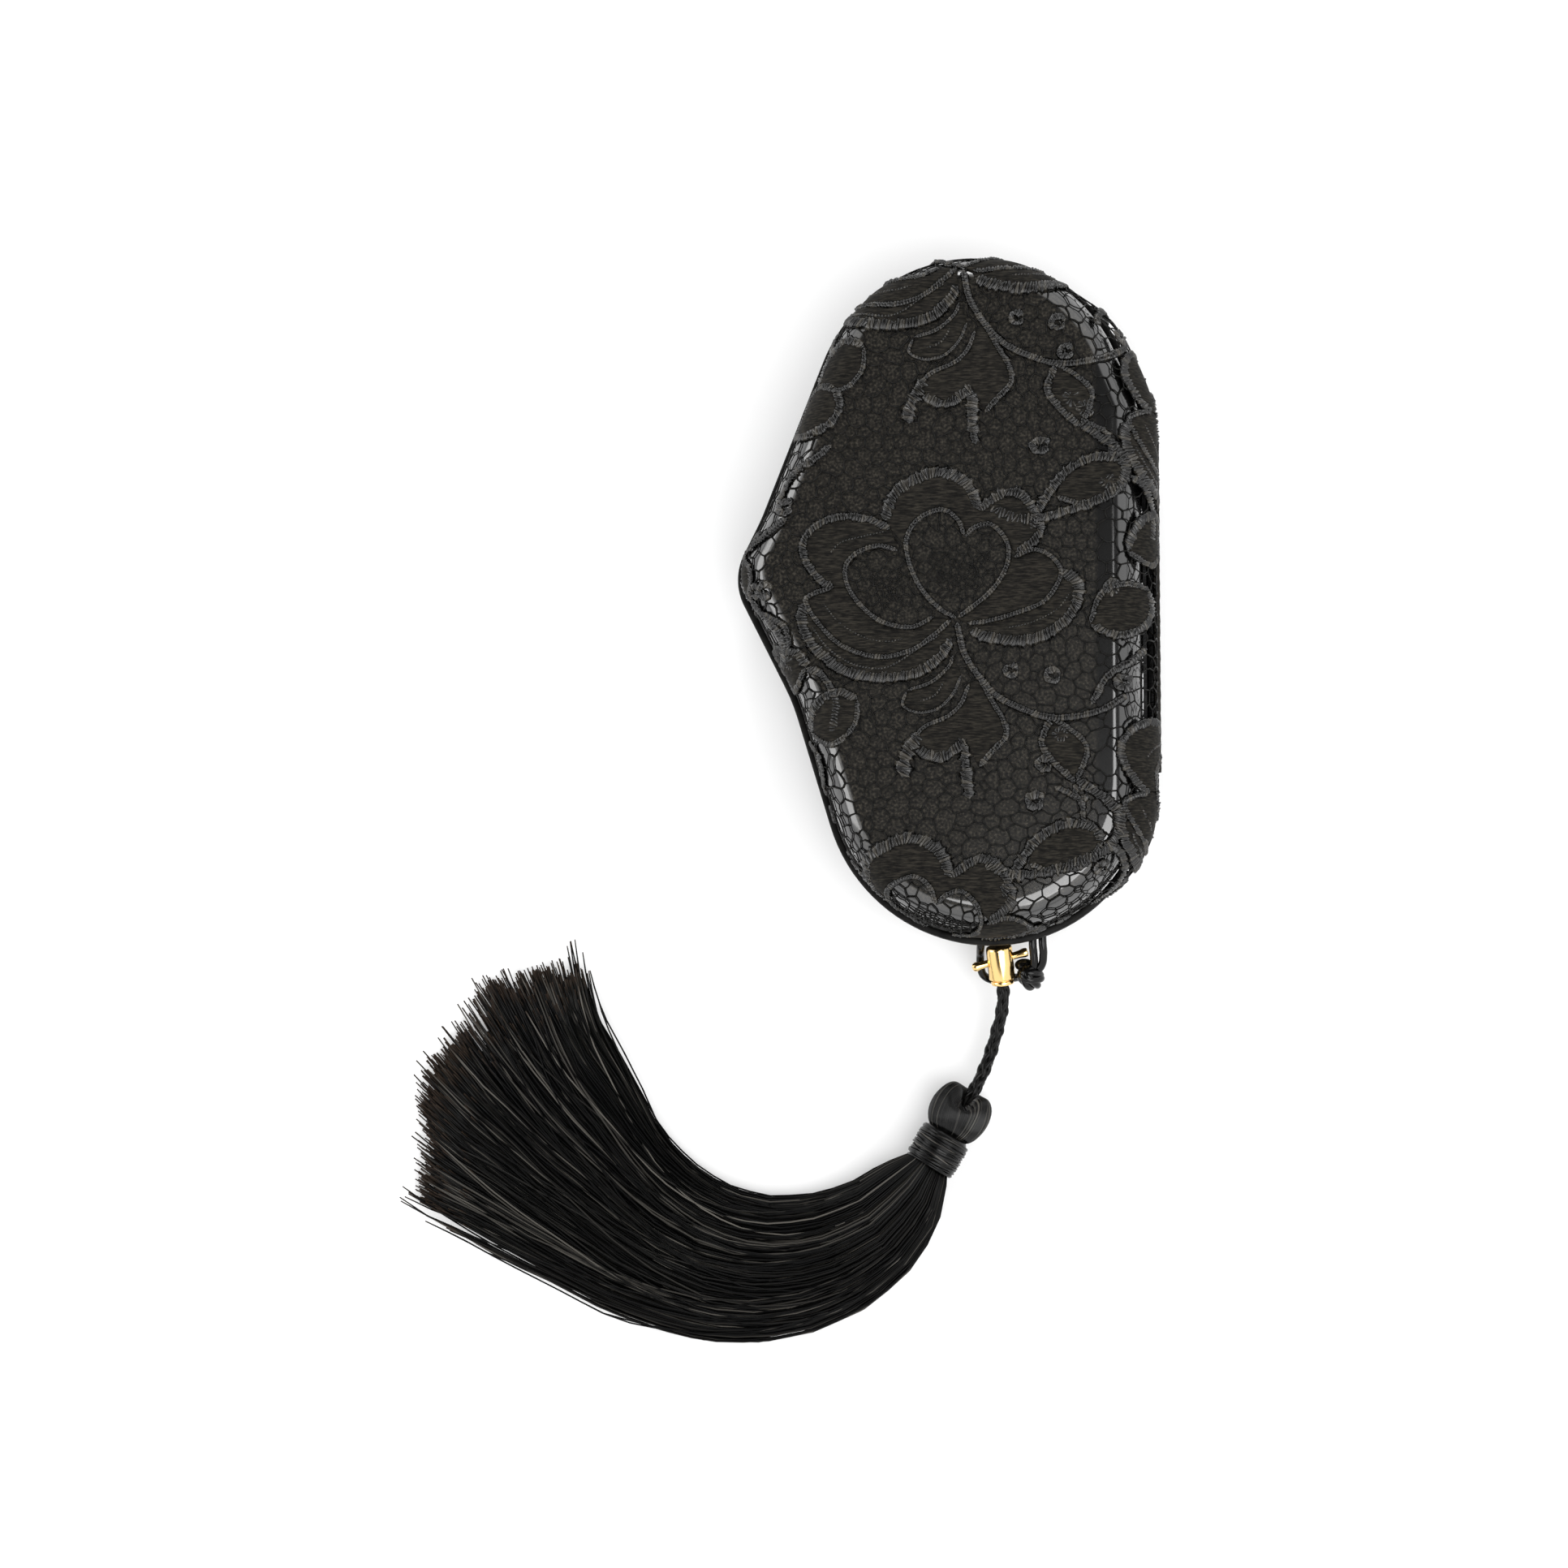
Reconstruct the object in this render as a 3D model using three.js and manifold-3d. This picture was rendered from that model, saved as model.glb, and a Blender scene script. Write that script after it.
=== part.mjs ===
// Evening clutch bag lying on its back: two hinged half shells with a peaked opening side,
// a corded lace relief, a toggle caught in a knotted cord loop, and a long tassel on the floor.
// Millimetres, +Z up. The spine runs along Y at x = 0, the peak points to -X, the clasp to -Y.
import * as THREE from 'three';
import { mergeVertices } from 'three/addons/utils/BufferGeometryUtils.js';
import Module from 'manifold-3d';

const wasm = await Module();
wasm.setup();

// Shell
const BAG_LENGTH = 204.7;
const BAG_WIDTH = 122;
const BAG_THICKNESS = 48;
const SHELL_WALL = 2.5;
const SEAM_GAP = 0.3;
const FIT_GAP = 0.3;
const SHOULDER_HEIGHT = 13;
const FACE_INSET = 11.5;
const SIDE_LEAN = 0.4;
const RIM_WIDTH = 2.2;
const RIM_HEIGHT = 2.4;
const RIM_BEVEL = 0.6;
const ARC_STEP = 10;
const POINT_SPACING = 0.5;
const SHOULDER_STEPS = 3;

// Spine hinge
const HINGE_LENGTH = 95;
const HINGE_MIDDLE = -2.5;
const HINGE_OUT = 0.3;
const KNUCKLES = 5;
const KNUCKLE_RADIUS = 1.9;
const PIN_RADIUS = 0.8;
const LEAF_THICKNESS = 1;
const LEAF_HEIGHT = 8;

// Toggle clasp. Its places count from the seam at the bag's lower end, CLASP_SHARE of the width in.
const CLASP_SHARE = 0.368;
const BARREL_LENGTH = 10;
const BARREL_RADIUS = 3.9;
const BARREL_WALL = 1;
const FOOT_LENGTH = 1.6;
const FOOT_RADIUS = 3.4;
const BAR_LENGTH = 17;
const BAR_WAIST_RADIUS = 1.1;
const BAR_END_RADIUS = 1.4;
const BAR_ABOVE_MIDDLE = 0.8;
const BAR_ANGLE = 10.8;
const TOGGLE_PLACE = [0, -4.55, -7.4];
const TOGGLE_DROOP = 17;
const TOGGLE_TURN = 5.7;

// Loop and knot
const LOOP_DIAMETER = 2.4;
const KNOT_RADIUS = 4.2;
const STOP_RADIUS = 2;
const KNOT_TURNS = [[70, 20, -20], [70, 80, 5], [70, 140, 30]];
const LOOP_STEPS = 1.4;
const LOOP_SIDES = 7;

// Tassel
const CORD_DIAMETER = 4.2;
const BALL_RADIUS = 9.3;
const BALL_LENGTH = 15;
const BALL_DIMPLE = 1.4;
const CORD_SEAT = 3.5;
const COLLAR_RADIUS = 8;
const COLLAR_LENGTH = 10.5;
const COLLAR_WINDS = 5;
const WIND_DEPTH = 0.5;
const NECK_RADIUS = 5;
const SKIRT_LENGTH = 180;
const SKIRT_LOCKS = 9;
const LOCK_OVERLAP = 1.3;
const LOCK_START = 1.2;
const LOCK_SIDES = 6;
const LOCK_FLOOR = 0.05;
const FAN_FLATNESS = 0.7;
const LANDING_SHARE = 0.2;
const TIP_SHARE = 0.45;
const TASSEL_TURN = 59.5;
const BALL_PLACE = [-12.5, -48.65];
const BALL_WAIST = 0.45;
const BALL_STEPS = 8;

// Lace relief
const LACE_REPEAT = 107;
const LACE_CORD_WIDTH = 3;
const LACE_HEIGHT = 0.9;
const LACE_DROP = 18.5;
const LACE_STEP = 5;
const LACE_GAP = 0.5;
const FLOWER_SHARE = [-0.46, -0.041];

const MIDDLE = BAG_THICKNESS / 2;
const SIDE_HEIGHT = MIDDLE - SHOULDER_HEIGHT;
const WALL_INSET = RIM_WIDTH + FIT_GAP;

// Corners of the bag's outline, anticlockwise from the top left. x is a share of the width from the
// spine, y a share of the length from the middle, r the fillet radius as a share of the width.
const OUTLINE = [
  { x: -0.694, y: 0.5, r: 0.405 },
  { x: -0.944, y: 0.12, r: 0.49 },
  { x: -1.017, y: 0.032, r: 0.139 },
  { x: -0.867, y: -0.147, r: 0.49 },
  { x: -0.688, y: -0.5, r: 0.418 },
  { x: 0, y: -0.5, r: 0.398 },
  { x: 0, y: 0.268, r: 0.16 },
  { x: -0.158, y: 0.5, r: 0.405 },
];

// Sections of the skirt from the collar to the ends. As shares of the skirt's length: x and y of the
// middle from the collar's end, w the width across the locks and h the thickness over the floor. turn
// is the way across to the inside of the curve, in degrees from the X axis.
const SKIRT_SECTIONS = [
  { x: 0, y: 0, w: 0.078, h: 0.074, turn: 140 },
  { x: -0.029, y: -0.044, w: 0.135, h: 0.07, turn: 128 },
  { x: -0.085, y: -0.098, w: 0.17, h: 0.062, turn: 123 },
  { x: -0.153, y: -0.134, w: 0.2, h: 0.056, turn: 116 },
  { x: -0.228, y: -0.153, w: 0.226, h: 0.052, turn: 110 },
  { x: -0.305, y: -0.152, w: 0.254, h: 0.049, turn: 103 },
  { x: -0.379, y: -0.132, w: 0.283, h: 0.046, turn: 95 },
  { x: -0.446, y: -0.096, w: 0.31, h: 0.043, turn: 88 },
  { x: -0.505, y: -0.051, w: 0.342, h: 0.04, turn: 80 },
  { x: -0.561, y: 0.001, w: 0.371, h: 0.037, turn: 74 },
  { x: -0.618, y: 0.051, w: 0.402, h: 0.033, turn: 69 },
  { x: -0.67, y: 0.105, w: 0.441, h: 0.029, turn: 63 },
  { x: -0.717, y: 0.159, w: 0.497, h: 0.025, turn: 58 },
  { x: -0.782, y: 0.246, w: 0.56, h: 0.022, turn: 50 },
];

// How far along the sections each lock reaches, from the outside of the curve to the inside.
const LOCK_REACH = [0.93, 0.955, 0.97, 0.98, 0.99, 0.998, 0.975, 0.95, 0.925];

// Route of the tassel's cord from inside the barrel to inside the ball, from the floor under the
// bag's lower end.
const CORD_ROUTE = [
  [0.2, -6.95, 15.9],
  [0.4, -8.85, 15.3],
  [0.6, -10.85, 14.7],
  [0.7, -13.15, 14],
  [0.6, -15.65, 13],
  [0.3, -18.15, 11.9],
  [-0.2, -20.65, 10.8],
  [-0.9, -23.15, 9.8],
  [-1.6, -25.65, 9],
  [-2.4, -28.15, 8.4],
  [-3.2, -30.65, 8],
  [-4.1, -33.15, 7.8],
  [-5.1, -35.65, 7.8],
  [-6.2, -38.15, 8.1],
  [-7.4, -40.65, 8.6],
  [-8.8, -42.95, 9.1],
  [-10.2, -45.15, 9.3],
];

// Routes of the loop's cord from the seam at the bag's end: the long leg goes under the bar and the
// barrel to the knot, and two short legs run from the knot back into the bag.
const KNOT_PLACE = [8.8, -8.75, -9.2];
const LOOP_ROUTES = [
  [
    [-5.5, 7.85, -4], [-5.5, 2.85, -4], [-5.7, 0.55, -4.8], [-5.9, -1.05, -7],
    [-6, -2.45, -9.2], [-6, -5.25, -10.4], [-5.3, -7.85, -11.8], [-3.1, -9.25, -13.8],
    [0.1, -9.45, -14.8], [3.7, -8.85, -13.6], [6.1, -8.65, -11.2], KNOT_PLACE,
  ],
  [[10.9, 10.35, -4], [10.9, 1.15, -4.1], [10.9, -1.65, -5.2], [10.3, -5.15, -6.8], KNOT_PLACE],
  [[13.6, 10.35, -4], [13.6, 1.35, -4.2], [13.5, -2.15, -5.6], [12.3, -5.65, -7.4], KNOT_PLACE],
];

// Corded lines of the lace, in hundredths of its repeat from the tip of a flower's heart, and how wide
// each is next to the plain cord.
const FLOWER_TOP = [
  {
    name: 'heart left',
    wide: 0.8,
    at: [[0, 0], [-8.5, 6.5], [-13.5, 17], [-11, 26], [-4, 29.5], [1.5, 24], [2, 19]],
  },
  { name: 'heart right', wide: 0.8, at: [[0, 0], [8.5, 6.5], [13.5, 15], [13, 21.5], [8.5, 25.5], [2, 19]] },
  { name: 'scallop left', wide: 1, at: [[-18, 21], [-17, 34], [-6, 40], [3, 36], [5.7, 28]] },
  { name: 'scallop right', wide: 1, at: [[5.7, 28], [12, 34], [19, 32.5], [22.5, 24], [15, 17]] },
];
const FLOWER_MIDDLE = [
  { name: 'petal right', wide: 0.8, at: [[13.5, 16], [21, 18.5], [28, 13], [24, 4.5], [14, 0.5], [0, -1]] },
  {
    name: 'petal left',
    wide: 1,
    at: [[-14, 23], [-24, 28], [-35, 27.5], [-42, 20.5], [-37, 10.5], [-30, 9]],
  },
  {
    name: 'petal inner',
    wide: 0.8,
    at: [[-14, 19], [-22, 20], [-30, 13.5], [-27, 4.5], [-16, -2], [-3, 1]],
  },
];
const FLOWER_FOOT = [
  { name: 'skirt right', wide: 1.2, at: [[28, 13], [33, 7], [29, -1.5], [17, -6], [8, -5], [0, -1]] },
  { name: 'crescent', wide: 0.8, at: [[-30, 9], [-41, 6], [-37, -2], [-27, -9], [-15, -9.5], [0, -1]] },
  {
    name: 'outer crescent',
    wide: 1,
    at: [[-41, 6], [-41, -4], [-33, -13], [-19, -16], [-7, -12.5], [0, -1]],
  },
];
const SPRAY = [
  { name: 'stem', wide: 1.3, at: [[0, 0], [2, -10], [8, -19], [18, -25.5], [33, -27]] },
  { name: 'bract', wide: 0.8, at: [[1, -7], [-4, -15], [-14, -20]] },
  { name: 'leaf left', wide: 0.8, at: [[4, -14], [1, -24], [-9, -29.5], [-14, -37], [-15.5, -43]] },
  { name: 'leaf foot', wide: 1, at: [[-13.5, -34], [-6, -38], [1, -33], [3, -40], [3.5, -49]] },
  { name: 'leaf right', wide: 0.8, at: [[8, -19], [12.5, -27], [12.5, -34], [2.5, -42]] },
  { name: 'drop left', wide: 1, at: [[24, -26.5], [23, -34], [27, -40], [33, -45]] },
  { name: 'drop right', wide: 0.8, at: [[24, -26.5], [32, -31], [35, -38], [33, -45]] },
];
const LINKS = [
  { name: 'side leaf', wide: 1, at: [[22, 27], [29, 39], [42, 44], [47, 39], [37, 30], [22, 27]] },
  { name: 'side twig', wide: 0.8, at: [[34, 54], [41, 50], [42, 43]] },
  { name: 'low leaf', wide: 1, at: [[32, -44], [43, -53], [41, -62], [28, -68], [16, -70], [7, -67]] },
];

// Where each group of lines is laid, in the same hundredths.
const LACE_PLAN = [
  { lines: [...FLOWER_TOP, ...FLOWER_MIDDLE, ...FLOWER_FOOT, ...SPRAY, ...LINKS], x: 0, y: 0 },
  { lines: [...FLOWER_FOOT, ...SPRAY], x: 2, y: 97 },
  { lines: FLOWER_TOP, x: -8, y: -100 },
];

function degrees(angle) {
  return THREE.MathUtils.degToRad(angle);
}

// Merges shared points, drops empty triangles and turns the faces outwards.
function closed(geometry) {
  const bare = new THREE.BufferGeometry();
  bare.setAttribute('position', geometry.getAttribute('position').clone());
  bare.setIndex(geometry.getIndex());
  const merged = mergeVertices(bare, 1e-4);
  const index = merged.getIndex().array;
  const kept = [];
  for (let i = 0; i < index.length; i += 3) {
    const [a, b, c] = [index[i], index[i + 1], index[i + 2]];
    if (a !== b && b !== c && c !== a) {
      kept.push(a, b, c);
    }
  }
  if (signedVolume(merged.getAttribute('position'), kept) < 0) {
    kept.reverse();
  }
  merged.setIndex(kept);
  return merged;
}

function signedVolume(position, index) {
  const [a, b, c] = [new THREE.Vector3(), new THREE.Vector3(), new THREE.Vector3()];
  let volume = 0;
  for (let i = 0; i < index.length; i += 3) {
    a.fromBufferAttribute(position, index[i]);
    b.fromBufferAttribute(position, index[i + 1]);
    c.fromBufferAttribute(position, index[i + 2]);
    volume += a.dot(b.cross(c)) / 6;
  }
  return volume;
}

function solid(geometry) {
  const shape = closed(geometry);
  const vertProperties = new Float32Array(shape.getAttribute('position').array);
  const triVerts = new Uint32Array(shape.getIndex().array);
  return new wasm.Manifold(new wasm.Mesh({ numProp: 3, vertProperties, triVerts }));
}

function surface(body) {
  const mesh = body.getMesh();
  const geometry = new THREE.BufferGeometry();
  geometry.setAttribute('position', new THREE.BufferAttribute(new Float32Array(mesh.vertProperties), 3));
  geometry.setIndex(Array.from(mesh.triVerts));
  return closed(geometry);
}

function join(geometries) {
  return geometries.map(solid).reduce((whole, part) => whole.add(part));
}

// Skin over rings of equal point count. The ends are capped, or joined when the profile is a loop.
function loft(rings, isLoop = false) {
  const count = rings[0].length;
  const positions = rings.flat().flatMap((p) => [p.x, p.y, p.z]);
  const index = [];
  const strips = isLoop ? rings.length : rings.length - 1;
  for (let r = 0; r < strips; r += 1) {
    const low = r * count;
    const high = ((r + 1) % rings.length) * count;
    for (let i = 0; i < count; i += 1) {
      const j = (i + 1) % count;
      index.push(low + i, low + j, high + j, low + i, high + j, high + i);
    }
  }
  if (!isLoop) {
    index.push(...cap(rings[0], 0, true));
    index.push(...cap(rings.at(-1), (rings.length - 1) * count, false));
  }
  const geometry = new THREE.BufferGeometry();
  geometry.setAttribute('position', new THREE.Float32BufferAttribute(positions, 3));
  geometry.setIndex(index);
  return geometry;
}

// Triangles over one flat ring, in the plane that shows it widest.
function cap(ring, start, isFirst) {
  const flat = ring.map((p) => flatten(p, ring));
  return THREE.ShapeUtils.triangulateShape(flat, []).flatMap(([a, b, c]) => {
    const triangle = isFirst ? [a, c, b] : [a, b, c];
    return triangle.map((i) => start + i);
  });
}

function flatten(point, ring) {
  const origin = ring[0];
  const across = ring[1].clone().sub(origin).normalize();
  const normal = new THREE.Vector3();
  for (let i = 1; i + 1 < ring.length; i += 1) {
    normal.add(ring[i].clone().sub(origin).cross(ring[i + 1].clone().sub(origin)));
  }
  const along = normal.normalize().cross(across);
  const offset = point.clone().sub(origin);
  return new THREE.Vector2(offset.dot(across), offset.dot(along));
}

// Outline of the bag as points with outward normals: every corner becomes an arc, and two arcs that
// would overrun their common side share it.
function bagOutline() {
  const corners = OUTLINE.map((c) => ({
    at: new THREE.Vector2(c.x * BAG_WIDTH, c.y * BAG_LENGTH),
    radius: c.r * BAG_WIDTH,
  }));
  const count = corners.length;
  corners.forEach((corner, i) => {
    const before = corner.at.clone().sub(corners[(i + count - 1) % count].at).normalize();
    const after = corners[(i + 1) % count].at.clone().sub(corner.at).normalize();
    corner.before = before;
    corner.turn = Math.atan2(before.cross(after), before.dot(after));
    corner.reach = corner.radius * Math.tan(Math.abs(corner.turn) / 2);
  });
  const limits = corners.map((corner, i) => {
    const next = corners[(i + 1) % count];
    return Math.min(1, corner.at.distanceTo(next.at) / (corner.reach + next.reach));
  });
  const points = corners.flatMap((corner, i) => {
    const shrink = Math.min(limits[i], limits[(i + count - 1) % count]);
    return arcPoints(corner, corner.radius * shrink, corner.reach * shrink);
  });
  return points.filter((p, i) => p.at.distanceTo(points[(i + 1) % points.length].at) > POINT_SPACING);
}

function arcPoints(corner, radius, reach) {
  const bend = Math.sign(corner.turn) * radius;
  const start = corner.at.clone().addScaledVector(corner.before, -reach);
  const heading = corner.before.angle();
  const inward = new THREE.Vector2(-Math.sin(heading), Math.cos(heading));
  const centre = start.clone().addScaledVector(inward, bend);
  const steps = Math.max(2, Math.ceil(Math.abs(corner.turn) / degrees(ARC_STEP)));
  const points = [];
  for (let k = 0; k <= steps; k += 1) {
    const angle = heading + (corner.turn * k) / steps;
    const normal = new THREE.Vector2(Math.sin(angle), -Math.cos(angle));
    points.push({ at: centre.clone().addScaledVector(normal, bend), normal });
  }
  return points;
}

const outline = bagOutline();

function ringAt(inset, height) {
  return outline.map(({ at, normal }) => {
    const p = at.clone().addScaledVector(normal, -inset);
    return new THREE.Vector3(p.x, p.y, height);
  });
}

// Half of the bag's section as insets and heights over the seam, moved inwards by the offset.
function sectionProfile(offset) {
  const sideInset = WALL_INSET + SIDE_LEAN;
  const profile = [
    { inset: WALL_INSET + offset, height: SEAM_GAP / 2 },
    { inset: sideInset + offset, height: SIDE_HEIGHT },
  ];
  for (let k = 1; k <= SHOULDER_STEPS; k += 1) {
    const angle = ((Math.PI / 2) * k) / SHOULDER_STEPS;
    profile.push({
      inset: FACE_INSET - (FACE_INSET - sideInset - offset) * Math.cos(angle),
      height: SIDE_HEIGHT + (SHOULDER_HEIGHT - offset) * Math.sin(angle),
    });
  }
  return profile;
}

// One hollow tray, from its outer face round the seam to its inner face. side is 1 for the front.
function halfShell(side) {
  const profile = [...sectionProfile(0).reverse(), ...sectionProfile(SHELL_WALL)];
  return loft(profile.map((p) => ringAt(p.inset, MIDDLE + side * p.height)));
}

function rim(side) {
  const top = SEAM_GAP / 2 + RIM_HEIGHT;
  const profile = [
    [RIM_WIDTH, SEAM_GAP / 2],
    [0, SEAM_GAP / 2],
    [0, top - RIM_BEVEL],
    [RIM_BEVEL, top],
    [RIM_WIDTH, top],
  ];
  const ring = loft(profile.map(([inset, height]) => ringAt(inset, MIDDLE + side * height)), true);
  return surface(solid(ring).subtract(hingeRoom()));
}

function claspPlace() {
  return [-CLASP_SHARE * BAG_WIDTH, -BAG_LENGTH / 2, MIDDLE];
}

function box(low, high) {
  const size = new THREE.Vector3(...high).sub(new THREE.Vector3(...low));
  const geometry = new THREE.BoxGeometry(size.x, size.y, size.z);
  geometry.translate(low[0] + size.x / 2, low[1] + size.y / 2, low[2] + size.z / 2);
  return geometry;
}

// The stretch of the rims that the hinge takes.
function hingeRoom() {
  const half = HINGE_LENGTH / 2 + FIT_GAP;
  const low = [-WALL_INSET, HINGE_MIDDLE - half, MIDDLE - LEAF_HEIGHT];
  const high = [RIM_WIDTH, HINGE_MIDDLE + half, MIDDLE + LEAF_HEIGHT];
  return solid(box(low, high));
}

function knuckleSpan(k) {
  const pitch = HINGE_LENGTH / KNUCKLES;
  const start = HINGE_MIDDLE - HINGE_LENGTH / 2 + k * pitch;
  return { start: start + FIT_GAP / 2, end: start + pitch - FIT_GAP / 2 };
}

function knuckle(k) {
  const { start, end } = knuckleSpan(k);
  const bore = PIN_RADIUS + FIT_GAP;
  const profile = [
    new THREE.Vector2(bore, start),
    new THREE.Vector2(KNUCKLE_RADIUS, start),
    new THREE.Vector2(KNUCKLE_RADIUS, end),
    new THREE.Vector2(bore, end),
    new THREE.Vector2(bore, start),
  ];
  return new THREE.LatheGeometry(profile, 12).translate(HINGE_OUT, 0, MIDDLE);
}

// Leaf with every second knuckle. The leaf is cut back where the other leaf's knuckles turn.
function hingeLeaf(side) {
  const first = side > 0 ? 1 : 0;
  const low = side > 0 ? MIDDLE + SEAM_GAP / 2 : MIDDLE - LEAF_HEIGHT;
  const half = HINGE_LENGTH / 2 - FIT_GAP / 2;
  const plate = box(
    [-RIM_WIDTH, HINGE_MIDDLE - half, low],
    [-RIM_WIDTH + LEAF_THICKNESS, HINGE_MIDDLE + half, low + LEAF_HEIGHT - SEAM_GAP / 2],
  );
  const room = KNUCKLE_RADIUS + FIT_GAP;
  let leaf = solid(plate);
  for (let k = 1 - first; k < KNUCKLES; k += 2) {
    const { start, end } = knuckleSpan(k);
    const cut = box([-WALL_INSET, start - FIT_GAP, MIDDLE - room], [0, end + FIT_GAP, MIDDLE + room]);
    leaf = leaf.subtract(solid(cut));
  }
  for (let k = first; k < KNUCKLES; k += 2) {
    leaf = leaf.add(solid(knuckle(k)));
  }
  return surface(leaf);
}

function hingePin() {
  return new THREE.CylinderGeometry(PIN_RADIUS, PIN_RADIUS, HINGE_LENGTH, 10)
    .translate(HINGE_OUT, HINGE_MIDDLE, MIDDLE);
}

function vectors(points) {
  return points.map((p) => new THREE.Vector3(...p));
}

function roundSection(radius, sides) {
  const points = [];
  for (let i = 0; i < sides; i += 1) {
    const angle = (2 * Math.PI * i) / sides;
    points.push(new THREE.Vector2(radius * Math.cos(angle), radius * Math.sin(angle)));
  }
  return new THREE.Shape(points);
}

function tube(points, radius, steps, sides = 8) {
  const extrudePath = new THREE.CatmullRomCurve3(vectors(points));
  return new THREE.ExtrudeGeometry(roundSection(radius, sides), { extrudePath, steps, bevelEnabled: false });
}

function loopTubes(radius) {
  return LOOP_ROUTES.map((route) => tube(route, radius, Math.ceil(LOOP_STEPS * route.length), LOOP_SIDES));
}

// The knot is three turns of the cord round a core.
function knotTurns() {
  const turnRadius = KNOT_RADIUS - LOOP_DIAMETER / 2;
  const core = new THREE.IcosahedronGeometry(turnRadius, 1);
  const turns = KNOT_TURNS.map(([tip, turn, lean]) => (
    new THREE.TorusGeometry(turnRadius, LOOP_DIAMETER / 2, 6, 12)
      .rotateX(degrees(tip))
      .rotateZ(degrees(turn))
      .rotateY(degrees(lean))
  ));
  return [core, ...turns].map((g) => g.translate(...KNOT_PLACE));
}

function cordLoop() {
  const stops = LOOP_ROUTES.map(([end]) => new THREE.IcosahedronGeometry(STOP_RADIUS, 0).translate(...end));
  return surface(join([...loopTubes(LOOP_DIAMETER / 2), ...knotTurns(), ...stops]));
}

function backShell() {
  const holes = join(loopTubes(LOOP_DIAMETER / 2 + FIT_GAP)).translate(claspPlace());
  return surface(solid(halfShell(-1)).subtract(holes));
}

// Turned piece along Y from pairs of radius and place.
function turned(profile, sides) {
  return new THREE.LatheGeometry(profile.map(([r, y]) => new THREE.Vector2(r, y)), sides);
}

function barShape() {
  const half = BAR_LENGTH / 2;
  const waist = BARREL_RADIUS + BARREL_WALL;
  return turned([
    [0, -half],
    [BAR_WAIST_RADIUS, -half],
    [BAR_END_RADIUS, -half + BARREL_WALL],
    [BAR_WAIST_RADIUS, -waist],
    [BAR_WAIST_RADIUS, waist],
    [BAR_END_RADIUS, half - BARREL_WALL],
    [BAR_WAIST_RADIUS, half],
    [0, half],
  ], 10).rotateZ(degrees(BAR_ANGLE - 90)).translate(0, BAR_ABOVE_MIDDLE, 0);
}

// Barrel with a foot, a blind bore for the cord and a cross hole for the bar.
function toggleBarrel() {
  const half = BARREL_LENGTH / 2;
  const bore = CORD_DIAMETER / 2 + FIT_GAP;
  const boreTop = BAR_ABOVE_MIDDLE - BAR_END_RADIUS - BARREL_WALL;
  const body = turned([
    [bore, boreTop],
    [bore, -half - FOOT_LENGTH],
    [FOOT_RADIUS, -half - FOOT_LENGTH],
    [FOOT_RADIUS, -half],
    [BARREL_RADIUS, -half],
    [BARREL_RADIUS, half - BARREL_WALL / 2],
    [BARREL_RADIUS - BARREL_WALL / 2, half],
    [0, half],
    [0, boreTop],
    [bore, boreTop],
  ], 24);
  const hole = turned([
    [0, -2 * BARREL_RADIUS],
    [BAR_WAIST_RADIUS + FIT_GAP, -2 * BARREL_RADIUS],
    [BAR_WAIST_RADIUS + FIT_GAP, 2 * BARREL_RADIUS],
    [0, 2 * BARREL_RADIUS],
  ], 12).rotateZ(degrees(BAR_ANGLE - 90)).translate(0, BAR_ABOVE_MIDDLE, 0);
  return surface(solid(body).subtract(solid(hole)));
}

// Round, padded head with a dimple where the cord goes in. Its axis is Y, the cord comes from +Y.
function tasselBall() {
  const half = BALL_LENGTH / 2;
  const bore = CORD_DIAMETER / 2 + FIT_GAP;
  const profile = [[0, CORD_SEAT], [bore, CORD_SEAT], [bore, half - BALL_DIMPLE]];
  const waist = BALL_RADIUS * BALL_WAIST;
  for (let k = 0; k <= BALL_STEPS; k += 1) {
    const angle = (Math.PI * k) / BALL_STEPS;
    profile.push([waist + (BALL_RADIUS - waist) * Math.sin(angle), half * Math.cos(angle)]);
  }
  profile.push([0, -half]);
  return turned(profile, 18);
}

// Ring of thread turns round the neck.
function tasselCollar() {
  const bore = NECK_RADIUS + FIT_GAP;
  const pitch = COLLAR_LENGTH / COLLAR_WINDS;
  const profile = [[bore, 0]];
  for (let k = 0; k < COLLAR_WINDS; k += 1) {
    profile.push([COLLAR_RADIUS - WIND_DEPTH, -k * pitch]);
    profile.push([COLLAR_RADIUS, -(k + 0.5) * pitch]);
  }
  profile.push([COLLAR_RADIUS - WIND_DEPTH, -COLLAR_LENGTH]);
  profile.push([bore, -COLLAR_LENGTH]);
  profile.push([bore, 0]);
  return turned(profile, 16);
}

const collarStart = -BALL_LENGTH / 2 - FIT_GAP;
const skirtStart = collarStart - COLLAR_LENGTH;

// The skirt's section at a share of the way along, with its middle, its size and the way across it.
function skirtSection(share) {
  const place = share * (SKIRT_SECTIONS.length - 1);
  const i = Math.min(SKIRT_SECTIONS.length - 2, Math.floor(place));
  const { x, y, w, h, turn } = blendPlace(SKIRT_SECTIONS[i], SKIRT_SECTIONS[i + 1], place - i);
  return {
    middle: new THREE.Vector2(x, y).multiplyScalar(SKIRT_LENGTH),
    across: new THREE.Vector2(Math.cos(degrees(turn)), Math.sin(degrees(turn))),
    width: w * SKIRT_LENGTH,
    height: h * SKIRT_LENGTH,
  };
}

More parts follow.
